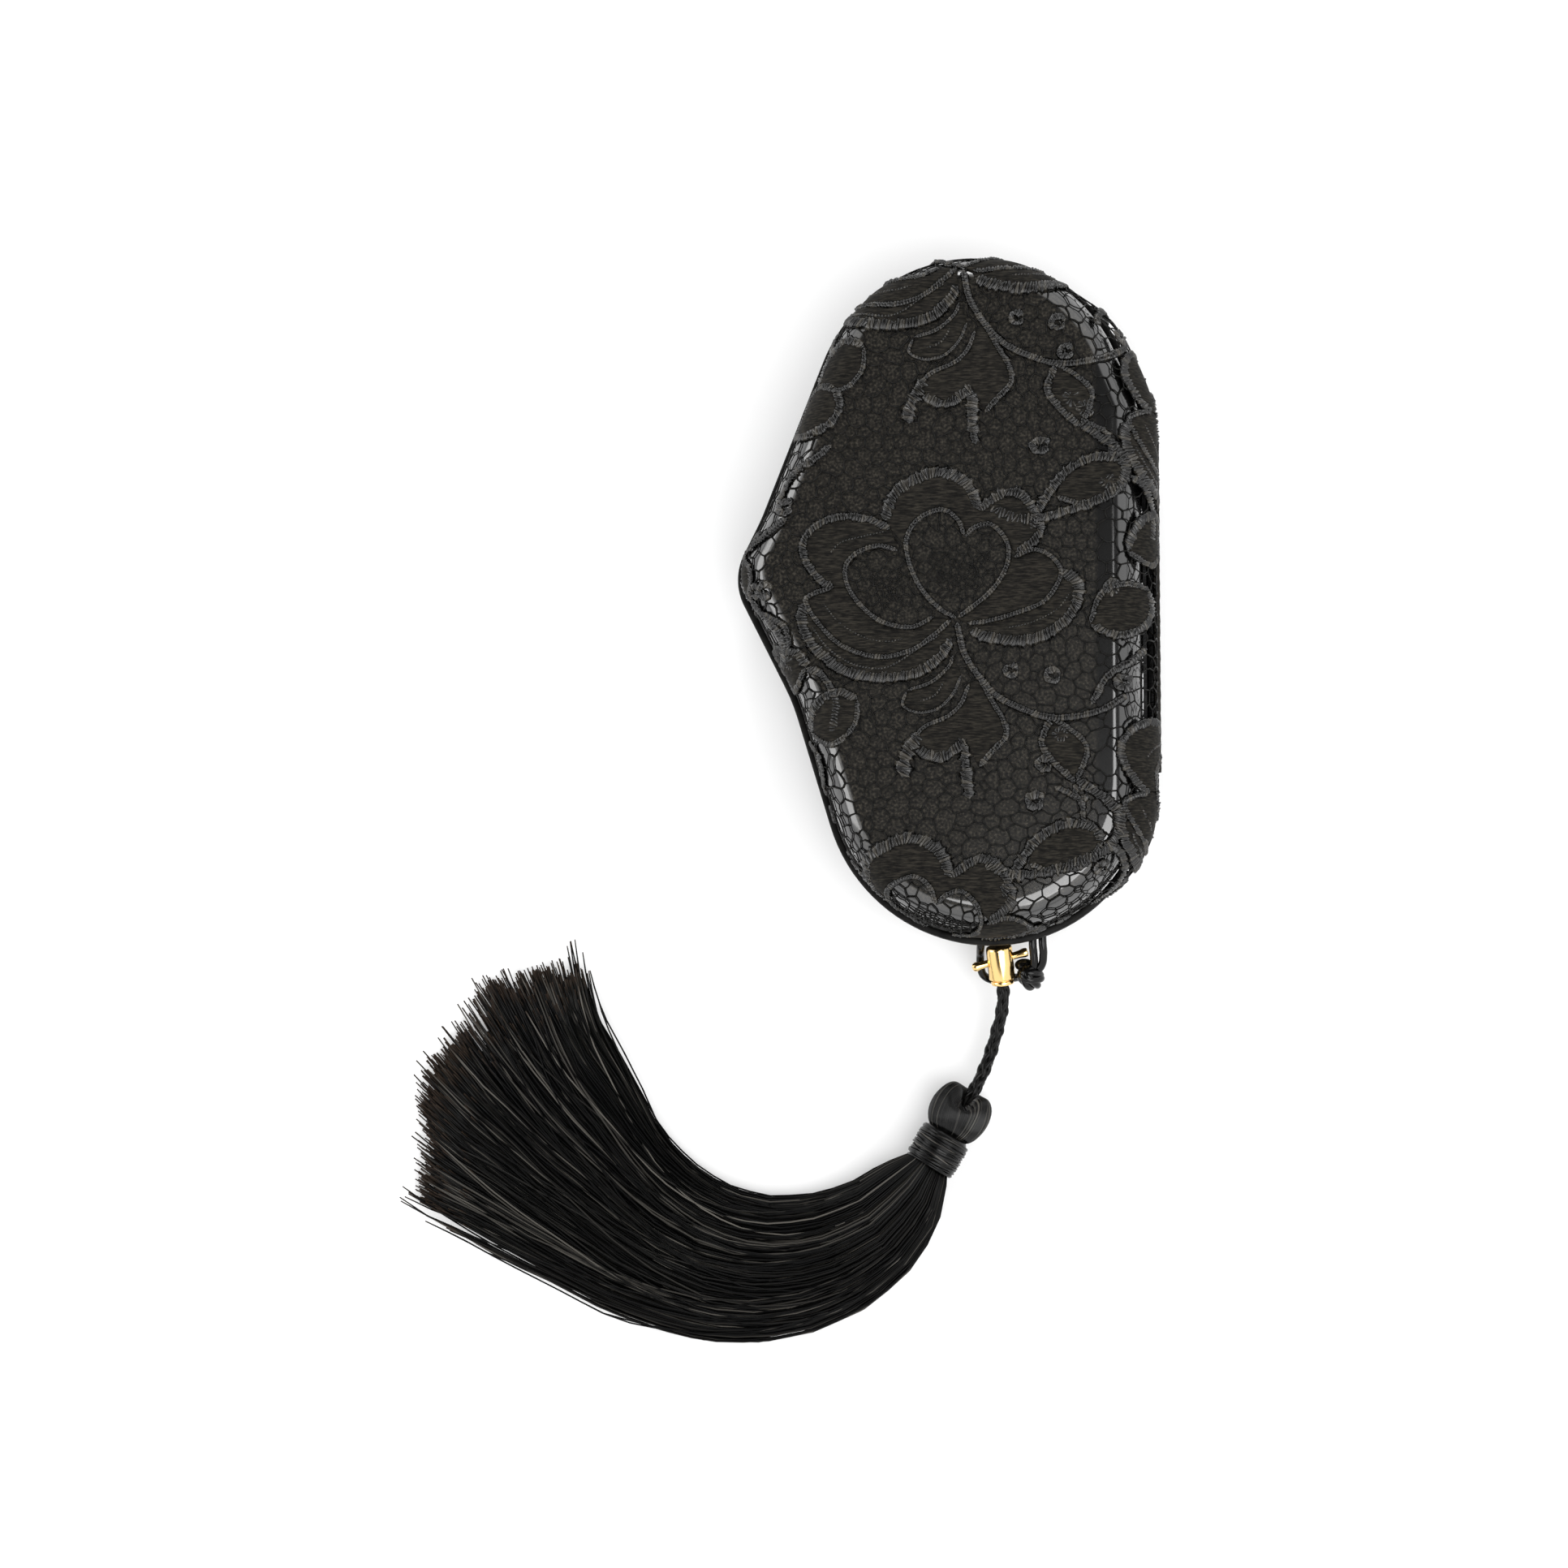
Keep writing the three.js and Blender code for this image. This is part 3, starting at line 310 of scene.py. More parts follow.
# Stitched bands: the line, the width and the height in millimetres, and how ragged the stitches are.
BANDS = [
    (HEART_LEFT, 1.9, 1.0, 0.12), (HEART_RIGHT, 1.9, 1.0, 0.12), (SCALLOP_LEFT, 4.3, 0.95, 0.3),
    (SCALLOP_RIGHT, 3.6, 0.95, 0.3), (PETAL_RIGHT, 1.9, 1.0, 0.12), (SKIRT_RIGHT, 4.2, 0.95, 0.25),
    (PETAL_LEFT, 2.9, 0.95, 0.28), (PETAL_INNER, 1.9, 1.0, 0.12), (CRESCENT_INNER, 2.0, 1.0, 0.12),
    (CRESCENT_OUTER, 4.0, 0.95, 0.28), (STEM, 2.5, 1.0, 0.15), (BRACT_UPPER, 1.5, 0.9, 0.12),
    (BRACT_LOWER, 1.2, 0.8, 0.1), (LEAF_LEFT, 1.7, 0.9, 0.15), (LEAF_FOOT, 3.6, 0.95, 0.4),
    (LEAF_RIGHT, 2.2, 0.95, 0.3), (FLAME_LEFT, 4.6, 0.9, 0.5), (FLAME_RIGHT, 4.0, 0.9, 0.5),
    (DROP_LEFT, 2.7, 0.95, 0.3), (DROP_RIGHT, 2.2, 0.95, 0.25), (SIDE_LEAF, 3.6, 0.95, 0.35),
    (SIDE_LEAF_FOOT, 2.2, 0.9, 0.25), (SIDE_TWIG, 2.8, 0.9, 0.3), (TOP_TWIG, 2.2, 0.9, 0.3),
    (LOW_LEAF, 3.6, 0.95, 0.35), (EDGE_LEAF, 3.0, 0.9, 0.35), (EDGE_LEAF_FOOT, 2.2, 0.9, 0.25),
    (EDGE_TWIG, 2.6, 0.9, 0.35), (LOW_EDGE_LEAF, 3.2, 0.9, 0.3), (LOW_EDGE_FOOT, 2.0, 0.9, 0.25),
    (LEFT_VEIN, 0.7, 0.85, 0.2), (CRESCENT_VEIN, 0.7, 0.85, 0.2), (RIGHT_VEIN, 0.7, 0.85, 0.2),
    (FOLD, 0.9, 0.85, 0.2), (BRACT_VEIN, 0.9, 0.85, 0.2),
]

# Small stitched rings: the place, the radius and the width in millimetres.
DOTS = [
    ((14.7, -14.5), 2.3, 2.6), ((25.9, -16), 2.5, 2.6), ((20.9, -50), 2.8, 3.0), ((31.5, 60), 2.5, 2.8),
    ((-52.7, 8), 2.6, 2.8), ((42, 8), 2.4, 3.0), ((45, -18), 2.6, 3.0), ((-58, 24), 2.4, 2.6),
    ((-47, -12), 2.2, 2.6),
]

HEART_MIDDLE = [
    (-2, 6), (4, 6.5), (7.5, 9), (10.5, 15), (8, 20), (4.5, 18), (1.5, 15.5), (-1, 19), (-5, 20), (-8, 15),
    (-5.5, 9),
]
PETAL_MIDDLE = [(-24.6, 8.5), (-21.5, 13.5), (-17, 13), (-13.5, 8), (-14.5, 4), (-21.5, 4)]

# Places where the cloth of the lace is closed, each as the lines round it.
PATCHES = [
    [SCALLOP_LEFT, SCALLOP_RIGHT, HEART_RIGHT[4::-1], HEART_LEFT[:3:-1]],
    [PETAL_RIGHT, [(0, 0)], HEART_RIGHT[:4:-1]],
    [SKIRT_RIGHT, PETAL_RIGHT[:2:-1]],
    [PETAL_LEFT, PETAL_INNER[4::-1]],
    [CRESCENT_INNER, PETAL_INNER[:3:-1]],
    [CRESCENT_OUTER, CRESCENT_INNER[:1:-1]],
    [BRACT_UPPER, BRACT_LOWER[::-1]],
    [LEAF_RIGHT, LEAF_FOOT[::-1], LEAF_LEFT[::-1]],
    [DROP_LEFT, DROP_RIGHT[::-1]],
    [SIDE_LEAF[2:], SIDE_LEAF_FOOT],
    [EDGE_LEAF, EDGE_LEAF_FOOT[::-1]],
    [LOW_EDGE_LEAF, LOW_EDGE_FOOT[::-1]],
]

# Where the flowers of the repeat lie, in the same hundredths.
FLOWER_PLACES = [(0, 0), (2, 97), (-8, -100), (88, 49), (-92, 49), (86, -56), (-88, -52)]

SIDE_INSET = WALL_INSET + SIDE_LEAN
SQUASH = {1: 1, -1: BACK_SQUASH}
WORD = {1: "front", -1: "back"}


def smoothstep(low, high, value):
    t = np.clip((value - low) / (high - low), 0, 1)
    return t * t * (3 - 2 * t)


def unit(vectors):
    return vectors / np.maximum(np.linalg.norm(vectors, axis=-1, keepdims=True), 1e-9)


# Angles all the way round, in even steps.
def around(count):
    return 2 * math.pi * np.arange(count) / count


# Distance gone at each point of a line.
def gone_along(line):
    return np.concatenate([[0], np.cumsum(np.linalg.norm(np.diff(line, axis=0), axis=1))])


# One rounded corner of the outline, as points with outward normals.
def arc(at, before, turn, radius, reach):
    bend = math.copysign(radius, turn)
    heading = math.atan2(before[1], before[0])
    centre = at - before * reach + bend * np.array([-math.sin(heading), math.cos(heading)])
    steps = max(3, math.ceil(abs(turn) / math.radians(OUTLINE_STEP)))
    angles = heading + turn * np.arange(steps + 1) / steps
    normals = np.stack([np.sin(angles), -np.cos(angles)], 1)
    return centre + bend * normals, normals


def bag_outline():
    places = np.array([(x * BAG_WIDTH, y * BAG_LENGTH) for x, y, _ in OUTLINE])
    radii = np.array([radius * BAG_WIDTH for _, _, radius in OUTLINE])
    sides = np.roll(places, -1, 0) - places
    after = unit(sides)
    before = np.roll(after, 1, 0)
    turns = np.arctan2(before[:, 0] * after[:, 1] - before[:, 1] * after[:, 0], (before * after).sum(1))
    reaches = radii * np.tan(np.abs(turns) / 2)
    room = np.minimum(1, np.linalg.norm(sides, axis=1) / (reaches + np.roll(reaches, -1)))
    shrink = np.minimum(room, np.roll(room, 1))
    arcs = [arc(*corner) for corner in zip(places, before, turns, radii * shrink, reaches * shrink)]
    return fill_gaps(*[np.concatenate(part) for part in zip(*arcs)])


# Adds points along the straight stretches and drops doubled ones.
def fill_gaps(points, normals, spacing=3.0):
    filled = []
    for i in range(len(points)):
        j = (i + 1) % len(points)
        gap = np.linalg.norm(points[j] - points[i])
        steps = max(1, math.ceil(gap / spacing)) if gap > DOUBLED else 0
        for t in np.arange(steps) / steps:
            way = normals[i] * (1 - t) + normals[j] * t
            filled.append((points[i] * (1 - t) + points[j] * t, unit(way)))
    return [np.array(part) for part in zip(*filled)]


outline, outward = bag_outline()
rim_lo, rim_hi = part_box("back_rim")
ORIGIN = np.array([rim_hi[0] / MM, (rim_lo[1] + rim_hi[1]) / 2 / MM, 0])


def row(points):
    return (np.asarray(points, float) + ORIGIN) * MM


# The bag's section from the edge of the flat face to the seam, by the distance along it: the inset, the
# height above the seam, and how far its normal points out and up.
def section_table():
    a, b = FACE_INSET - SIDE_INSET, SHOULDER_HEIGHT
    angles = np.linspace(math.pi / 2, 0, 60)
    inset = FACE_INSET - a * np.cos(angles)
    height = SIDE_HEIGHT + b * np.sin(angles)
    slope = np.hypot(b * np.cos(angles), a * np.sin(angles))
    distance = gone_along(np.stack([inset, height], 1))
    rows = np.stack([distance, inset, height, b * np.cos(angles) / slope, a * np.sin(angles) / slope], 1)
    return np.vstack([rows, [distance[-1] + SIDE_HEIGHT, WALL_INSET, 0, 1, 0]])


SECTION = section_table()
SEAM_DISTANCE = SECTION[-1, 0]
face_edge = outline - outward * FACE_INSET


# Nearest place on the edge of the flat face for each flat point: foot, way out and distance.
def over_edge(points):
    along = np.roll(face_edge, -1, 0) - face_edge
    length = (along ** 2).sum(1)
    found = []
    for chunk in np.array_split(points, max(1, len(points) // 2000)):
        offset = chunk[:, None, :] - face_edge[None]
        share = np.clip((offset * along).sum(2) / length, 0, 1)
        gap = offset - share[..., None] * along
        best = (gap ** 2).sum(2).argmin(1)
        rows = np.arange(len(chunk))
        t = share[rows, best][:, None]
        way = unit(outward[best] * (1 - t) + outward[(best + 1) % len(outward)] * t)
        miss = gap[rows, best]
        over = (miss * way).sum(1) > 0
        foot = np.where(over[:, None], face_edge[best] + t * along[best], chunk)
        found.append((foot, way, np.where(over, np.linalg.norm(miss, axis=1), 0)))
    return [np.concatenate(part) for part in zip(*found)]


# Lays flat points over one half of the bag, lifted off it. Returns places, normals and distances.
def drape(points, lift, side):
    foot, way, distance = over_edge(points)
    inset, height, out, up = [np.interp(distance, SECTION[:, 0], SECTION[:, k]) for k in range(1, 5)]
    spread = smoothstep(*BULGE_FACING, way[:, 0]) * smoothstep(*BULGE_DISTANCE, distance)
    lift = lift + LACE_BULGE * spread
    near_hinge = HINGE_LIFT + HINGE_SLOPE * np.maximum(SEAM_DISTANCE - distance, 0)
    lift = np.where(way[:, 0] > HINGE_FACING, np.minimum(lift, near_hinge), lift)
    reach = np.where(distance > 0, FACE_INSET - inset + out * lift, 0)
    z = np.maximum(MIDDLE + side * SQUASH[side] * (height + up * lift), FLOOR_CLEAR)
    normal = np.concatenate([way * out[:, None], side * up[:, None]], 1)
    return np.column_stack([foot + way * reach[:, None], z]), unit(normal), distance


# Where the lace ends: over the rims, and at the seam itself along the hinge.
def lace_limit(way, foot):
    along_hinge = (way[:, 0] > 0.9) & (np.abs(foot[:, 1] - HINGE_MIDDLE) < HINGE_LENGTH / 2)
    return np.where(along_hinge, SEAM_DISTANCE - HINGE_MARGIN, SEAM_DISTANCE - RIM_HEIGHT - SEAM_GAP)


# Makes a piece from points, faces and perhaps a UV for each point.
def add_mesh(name, part, finish, body):
    mesh = bpy.data.meshes.new(name)
    mesh.from_pydata(row(part[0]).tolist(), [], [list(map(int, face)) for face in part[1]])
    if len(part) > 2:
        corners = np.zeros(len(mesh.loops), int)
        mesh.loops.foreach_get("vertex_index", corners)
        layer = mesh.uv_layers.new(name="UVMap")
        layer.data.foreach_set("uv", part[2][corners].ravel())
    mesh.polygons.foreach_set("use_smooth", [True] * len(mesh.polygons))
    mesh.materials.append(finish)
    mesh.update()
    piece = bpy.data.objects.new(name, mesh)
    bpy.context.collection.objects.link(piece)
    if body:
        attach(piece, body)
    return piece


# Faces between the rows of a grid of points, closed across and where asked along.
def grid_faces(rows, columns, closed=False):
    r, c = np.meshgrid(np.arange(rows if closed else rows - 1), np.arange(columns), indexing="ij")
    r, c = r.ravel(), c.ravel()
    r2, c2 = (r + 1) % rows, (c + 1) % columns
    return np.stack([r * columns + c, r * columns + c2, r2 * columns + c2, r2 * columns + c], 1)


def flipped(part):
    return part[0], [face[::-1] for face in part[1]]


# Skin over rings of points, with both ends filled unless it is closed.
def loft(rings, closed=False):
    rings = np.asarray(rings)
    rows, columns = rings.shape[:2]
    last = (rows - 1) * columns
    ends = [] if closed else [list(range(columns))[::-1], list(range(last, last + columns))]
    return rings.reshape(-1, 3), grid_faces(rows, columns, closed).tolist() + ends


# Turned piece from pairs of radius and place along Y.
def turned(profile, sides):
    rings = [[(r * math.cos(a), y, r * math.sin(a)) for a in around(sides)] for r, y in profile]
    return flipped(loft(rings))


def merge(parts):
    points, faces, uvs, start = [], [], [], 0
    for part in parts:
        points.append(part[0])
        faces.extend([i + start for i in face] for face in part[1])
        uvs.append(part[2] if len(part) > 2 else np.zeros((len(part[0]), 2)))
        start += len(part[0])
    return np.concatenate(points), faces, np.concatenate(uvs)


# Smooth line through points, in even steps.
def catmull(points, spacing):
    p = np.asarray(points, float)
    full = np.vstack([2 * p[0] - p[1], p, 2 * p[-1] - p[-2]])
    t = np.linspace(0, 1, 24, endpoint=False)[:, None]
    lines = []
    for a, b, c, d in zip(full, full[1:], full[2:], full[3:]):
        lines.append(0.5 * (2 * b + (c - a) * t + (2 * a - 5 * b + 4 * c - d) * t ** 2
                            + (3 * b - a - 3 * c + d) * t ** 3))
    line = np.vstack(lines + [p[-1]])
    gone = gone_along(line)
    at = np.linspace(0, gone[-1], max(2, round(gone[-1] / spacing) + 1))
    return np.stack([np.interp(at, gone, column) for column in line.T], 1)


# Round tube along a line. The frame is carried along without twist.
def tube(line, radius, sides, closed=False):
    tangent = unit(np.roll(line, -1, 0) - np.roll(line, 1, 0) if closed else np.gradient(line, axis=0))
    normal = np.zeros_like(line)
    seed = np.array([0, 0, 1.0]) if abs(tangent[0][2]) < 0.9 else np.array([1.0, 0, 0])
    for i, way in enumerate(tangent):
        seed = unit(seed - way * (seed @ way))
        normal[i] = seed
    turn = around(sides)[:, None]
    ring = np.cos(turn) * normal[:, None] + np.sin(turn) * np.cross(tangent, normal)[:, None]
    points, faces = loft(line[:, None] + ring * radius, closed)
    uv = np.stack([np.repeat(gone_along(line), sides), np.tile(np.arange(sides) / sides, len(line))], 1)
    return points, faces, uv


# Tubes along many lines at once. The UV holds the line's number and the share along it.
def many_tubes(lines, normals, radius, sides, offset=0.0, tip=1.0, stretch=0.0, share=0.0):
    count, steps = lines.shape[:2]
    tangent = unit(np.gradient(lines, axis=1))
    side = unit(np.cross(tangent, normals))
    up = np.cross(side, tangent)
    lines[:, 0] -= tangent[:, 0] * stretch
    lines[:, -1] += tangent[:, -1] * stretch
    turn = (around(sides) + offset)[:, None]
    ring = np.cos(turn) * side[:, :, None] + np.sin(turn) * up[:, :, None]
    taper = np.ones(steps)
    taper[-1] = tip
    points = lines[:, :, None] + ring * (radius * taper)[None, :, None, None]
    first = (np.arange(count) * steps * sides)[:, None]
    last = first + (steps - 1) * sides
    faces = (grid_faces(steps, sides)[None] + first[..., None]).reshape(-1, 4).tolist()
    faces += (first + np.arange(sides)[::-1]).tolist() + (last + np.arange(sides)).tolist()
    uv = np.zeros((count, steps, sides, 2))
    uv[..., 0] = np.arange(count)[:, None, None] + 0.5
    uv[..., 1] = np.broadcast_to(share, (count, steps))[..., None]
    return points.reshape(-1, 3), faces, uv.reshape(-1, 2)


class Finish:
    """A material with its principled shader and short ways to add nodes."""

    def __init__(self, name, color, roughness, **settings):
        self.material = bpy.data.materials.new(name)
        self.material.use_nodes = True
        self.nodes = self.material.node_tree.nodes
        self.links = self.material.node_tree.links
        self.inputs = self.nodes["Principled BSDF"].inputs
        for setting, value in {"Base Color": (*color, 1), "Roughness": roughness, **settings}.items():
            self.inputs[setting.replace("_", " ")].default_value = value

    def node(self, kind, **values):
        node = self.nodes.new(kind)
        for name, value in values.items():
            socket = name.replace("_", " ")
            if socket in node.inputs:
                node.inputs[socket].default_value = value
            else:
                setattr(node, name, value)
        return node

    # Puts a number, a colour or another node's output into a socket.
    def feed(self, target, value):
        if isinstance(value, bpy.types.NodeSocket):
            self.links.new(value, target)
        else:
            target.default_value = value

    def coordinates(self, kind="Object", scale=(1, 1, 1)):
        mapping = self.node("ShaderNodeMapping", Scale=scale)
        self.feed(mapping.inputs["Vector"], self.node("ShaderNodeTexCoord").outputs[kind])
        return mapping.outputs["Vector"]

    def split(self, vector):
        node = self.node("ShaderNodeSeparateXYZ")
        self.feed(node.inputs["Vector"], vector)
        return node.outputs

    def noise(self, vector, scale, detail):
        node = self.node("ShaderNodeTexNoise", Scale=scale, Detail=detail)
        self.feed(node.inputs["Vector"], vector)
        return node.outputs["Fac"]

    def math(self, operation, *values):
        node = self.node("ShaderNodeMath", operation=operation)
        for socket, value in zip(node.inputs, values):
            self.feed(socket, value)
        return node.outputs["Value"]

    # Rises from 0 to most while a value goes from low to high.
    def rise(self, value, low, high, most=1.0):
        node = self.node("ShaderNodeMapRange", From_Min=low, From_Max=high, To_Max=most)
        self.feed(node.inputs["Value"], value)
        return node.outputs["Result"]

    def mix(self, share, first, second):
        node = self.node("ShaderNodeMix", data_type="RGBA")
        self.feed(node.inputs["Factor"], share)
        self.feed(node.inputs[6], first)
        self.feed(node.inputs[7], second)
        return node.outputs[2]

    # A number from 0 to 1 for each whole step of the first UV coordinate.
    def thread_number(self):
        node = self.node("ShaderNodeTexWhiteNoise", noise_dimensions="1D")
        self.feed(node.inputs["W"], self.math("FLOOR", self.split(self.coordinates("UV"))["X"]))
        return node.outputs["Value"]

    def ramp(self, value, stops):
        node = self.node("ShaderNodeValToRGB")
        elements = node.color_ramp.elements
        for i, (place, color) in enumerate(stops):
            stop = elements[i] if i < 2 else elements.new(place)
            stop.position = place
            stop.color = (*color, 1)
        self.feed(node.inputs["Fac"], value)
        return node.outputs["Color"]

    def paint(self, color):
        self.feed(self.inputs["Base Color"], color)

    def bump(self, height, distance, strength):
        node = self.node("ShaderNodeBump", Strength=strength, Distance=distance)
        last = self.inputs["Normal"].links
        if last:
            self.feed(node.inputs["Normal"], last[0].from_socket)
        self.feed(node.inputs["Height"], height)
        self.feed(self.inputs["Normal"], node.outputs["Normal"])


def grey(value, warm=0.0):
    return (value * (1 + 0.6 * warm), value, value * (1 - warm))


# A finish whose colour and relief both come from noise of a scale and a detail.
def mottled(name, color, roughness, shades, speck, grain, relief, scale=(1, 1, 1), **settings):
    f = Finish(name, color, roughness, **settings)
    place = f.coordinates(scale=scale)
    f.paint(f.ramp(f.noise(place, *speck), shades))
    f.bump(f.noise(place, *grain), *relief)
    return f.material


# The flat face is painted a lighter mottled grey, partly its own tone and partly painted reflection of the
# room. The rounded shoulders and sides are black, and a strip of the face by the spine is painted black as a
# painted dark reflection.
def shell_finish():
    f = Finish(
        "lacquered shell", grey(0.012, 0.04), 0.5,
        Coat_Weight=0.9, Coat_Roughness=0.12, Coat_IOR=1.9, Specular_IOR_Level=0.1,
    )
    place = f.coordinates()
    x, _, z = f.split(place)
    height = f.math("ABSOLUTE", f.math("SUBTRACT", z, MIDDLE * MM))
    face_with_painted_reflection = f.rise(height, *[level * MM for level in FACE_LEVELS])
    off_painted_dark_strip = f.rise(x, *[(ORIGIN[0] + edge) * MM for edge in PAINTED_DARK_STRIP_EDGE])
    shades = [(0.36, grey(0.002, 0.15)), (0.5, grey(0.0095, 0.22)), (0.7, grey(0.034, 0.22))]
    speck = f.ramp(f.noise(place, 1250, 4), shades)
    # Painted black on the shoulders, the sides and the spine-side strip (a painted dark reflection); lighter
    # grey with painted reflection on the face.
    f.paint(f.mix(f.math("MULTIPLY", face_with_painted_reflection, off_painted_dark_strip), (*grey(0.0015, 0.05), 1), speck))
    f.bump(f.noise(place, 420, 4), 0.0001, 0.45)
    return f.material


# Each stitch has its own shade, and fine strands run along it.
def satin_thread():
    f = Finish("satin stitch thread", grey(0.01, 0.1), 0.25, Specular_IOR_Level=0.5)
    shades = [(0.1, grey(0.0004, 0.1)), (0.6, grey(0.003, 0.2)), (0.97, grey(0.032, 0.22))]
    f.paint(f.ramp(f.thread_number(), shades))
    f.bump(f.noise(f.coordinates("UV", scale=(7, 0.7, 1)), 1, 2), 0.00014, 0.7)
    return f.material


def net_thread():
    shades = [(0.35, grey(0.001, 0.1)), (0.75, grey(0.006, 0.2))]
    return mottled(
        "net thread", grey(0.006, 0.08), 0.4, shades, (500, 3), (1500, 2), (0.0001, 0.8),
        Specular_IOR_Level=0.16,
    )


# Fine cloth with rows of weft and a little fleck.
def close_cloth():
    f = Finish("close woven cloth", grey(0.01, 0.06), 0.75, Specular_IOR_Level=0.1)
    rows = f.noise(f.coordinates(scale=(420, 2400, 420)), 1, 3)
    f.paint(f.ramp(rows, [(0.34, grey(0.002, 0.15)), (0.5, grey(0.008, 0.2)), (0.68, grey(0.02, 0.22))]))
    f.bump(rows, 0.0001, 0.6)
    f.bump(f.noise(f.coordinates(), 1400, 3), 0.00008, 0.5)
    return f.material


def rim_cloth():
    shades = [(0.3, grey(0.002, 0.04)), (0.75, grey(0.009, 0.08))]
    return mottled(
        "bound edge", grey(0.004, 0.06), 0.5, shades, (350, 4), (900, 3), (0.00008, 0.5),
        Specular_IOR_Level=0.1,
    )


def gold_plate():
    f = Finish("gold plate", (0.86, 0.6, 0.25), 0.12, Metallic=1.0)
    place = f.coordinates()
    f.feed(f.inputs["Roughness"], f.ramp(f.noise(place, 120, 3), [(0.3, grey(0.1)), (0.8, grey(0.2))]))
    f.bump(f.noise(place, 260, 2), 0.00002, 0.25)
    return f.material


def hinge_metal():
    shades = [(0.3, grey(0.012)), (0.8, grey(0.04))]
    return mottled(
        "black hinge metal", grey(0.02), 0.4, shades, (300, 3), (800, 2), (0.00002, 0.3),
        scale=(1, 8, 1), Metallic=1.0,
    )


def loop_satin():
    shades = [(0.3, grey(0.0015)), (0.8, grey(0.005, 0.05))]
    return mottled(
        "satin rat tail cord", grey(0.003), 0.2, shades, (300, 3), (500, 2), (0.0001, 0.3),
        Coat_Weight=0.3, Coat_Roughness=0.06, Specular_IOR_Level=0.1,
    )


def silk():
    shades = [(0.3, grey(0.0015, 0.04)), (0.75, grey(0.008, 0.08))]
    return mottled(
        "silk thread", grey(0.004), 0.26, shades, (240, 4), (1500, 2), (0.00006, 0.5),
        Specular_IOR_Level=0.14,
    )


# Threads laid side by side, each of its own shade; the lightest are partly painted highlights.
def wound_silk():
    f = Finish("wound silk", grey(0.004), 0.22, Specular_IOR_Level=0.24)
    shades = [(0.5, grey(0.0003)), (0.75, grey(0.003, 0.1)), (1, grey(0.07, 0.12))]
    f.paint(f.ramp(f.thread_number(), shades))
    f.bump(f.noise(f.coordinates(), 1500, 2), 0.00005, 0.5)
    return f.material


# Threads of the skirt: most are black, and some are painted lighter, partly their own shade and partly
# painted highlights. The cut tips are brown.
def fringe():
    f = Finish("silk fringe", grey(0.004), 0.3, Specular_IOR_Level=0.12)
    shades = [
        (0.5, grey(0.0004)), (0.78, grey(0.005, 0.1)), (0.9, grey(0.035, 0.12)), (1, grey(0.1, 0.12)),
    ]
    at_tip = f.rise(f.split(f.coordinates("UV"))["Y"], TIP_START, 1, 0.8)
    f.paint(f.mix(at_tip, f.ramp(f.thread_number(), shades), TIP_COLOR))
    f.bump(f.noise(f.coordinates(), 1500, 2), 0.00004, 0.5)
    return f.material


def floor_finish():
    f = Finish(
        "studio floor", grey(0.65), 0.9,
        Specular_IOR_Level=0.1, Emission_Color=(1, 1, 1, 1), Emission_Strength=0.26,
    )
    f.paint(f.ramp(f.noise(f.coordinates(), 30, 2), [(0.3, grey(0.645)), (0.8, grey(0.655))]))
    return f.material


# Camera at the photograph's angle, almost straight above.
def add_camera():
    toward = Vector(CAMERA_WAY).normalized()
    right = Vector((0, 1, 0)).cross(toward).normalized()
    turn = Matrix((right, toward.cross(right), toward)).transposed().to_4x4()
    camera = bpy.data.cameras.new("camera")
    camera.lens = 100
    camera.sensor_width = 36
    camera.clip_end = 20
    holder = bpy.data.objects.new("camera", camera)
    holder.matrix_world = Matrix.Translation(Vector(CAMERA_TARGET) + toward * CAMERA_DISTANCE) @ turn
    bpy.context.collection.objects.link(holder)
    bpy.context.scene.camera = holder


def add_light(name, place, size, power):
    light = bpy.data.lights.new(name, "AREA")
    light.shape = "RECTANGLE"
    light.size, light.size_y = size
    light.energy = power
    holder = bpy.data.objects.new(name, light)
    holder.location = place
    holder.rotation_euler = (Vector(LIT_MIDDLE) - Vector(place)).to_track_quat("-Z", "Y").to_euler()
    bpy.context.collection.objects.link(holder)


# The room: pale from the floor to well up the walls, and dark overhead.
def add_sky():
    world = bpy.data.worlds.new("studio")
    world.use_nodes = True
    nodes, links = world.node_tree.nodes, world.node_tree.links
    place = nodes.new("ShaderNodeTexCoord")
    split = nodes.new("ShaderNodeSeparateXYZ")
    ramp = nodes.new("ShaderNodeValToRGB")
    links.new(place.outputs["Generated"], split.inputs["Vector"])
    links.new(split.outputs["Z"], ramp.inputs["Fac"])
    links.new(ramp.outputs["Color"], nodes["Background"].inputs["Color"])
    elements = ramp.color_ramp.elements
    for i, (at, value) in enumerate(SKY):
        stop = elements[i] if i < 2 else elements.new(at)
        stop.position = at
        stop.color = (value, value, value, 1)
    bpy.context.scene.world = world


def add_studio():
    bpy.ops.mesh.primitive_plane_add(size=8, location=(0, 0, 0))
    floor = bpy.context.object
    floor.name = "studio_floor"
    floor.data.materials.append(floor_finish())
    add_sky()
    add_light("key", (0.42, -0.48, 1.25), (1.1, 1.1), 18)
    add_light("top light", (0.1, 1.05, 0.5), (0.5, 0.3), 3)
    add_light("left box", (-0.9, 0.1, 0.4), (0.9, 0.5), 4)
    scene = bpy.context.scene
    scene.view_settings.view_transform = "Standard"
    scene.view_settings.look = "None"
    scene.cycles.use_denoising = True


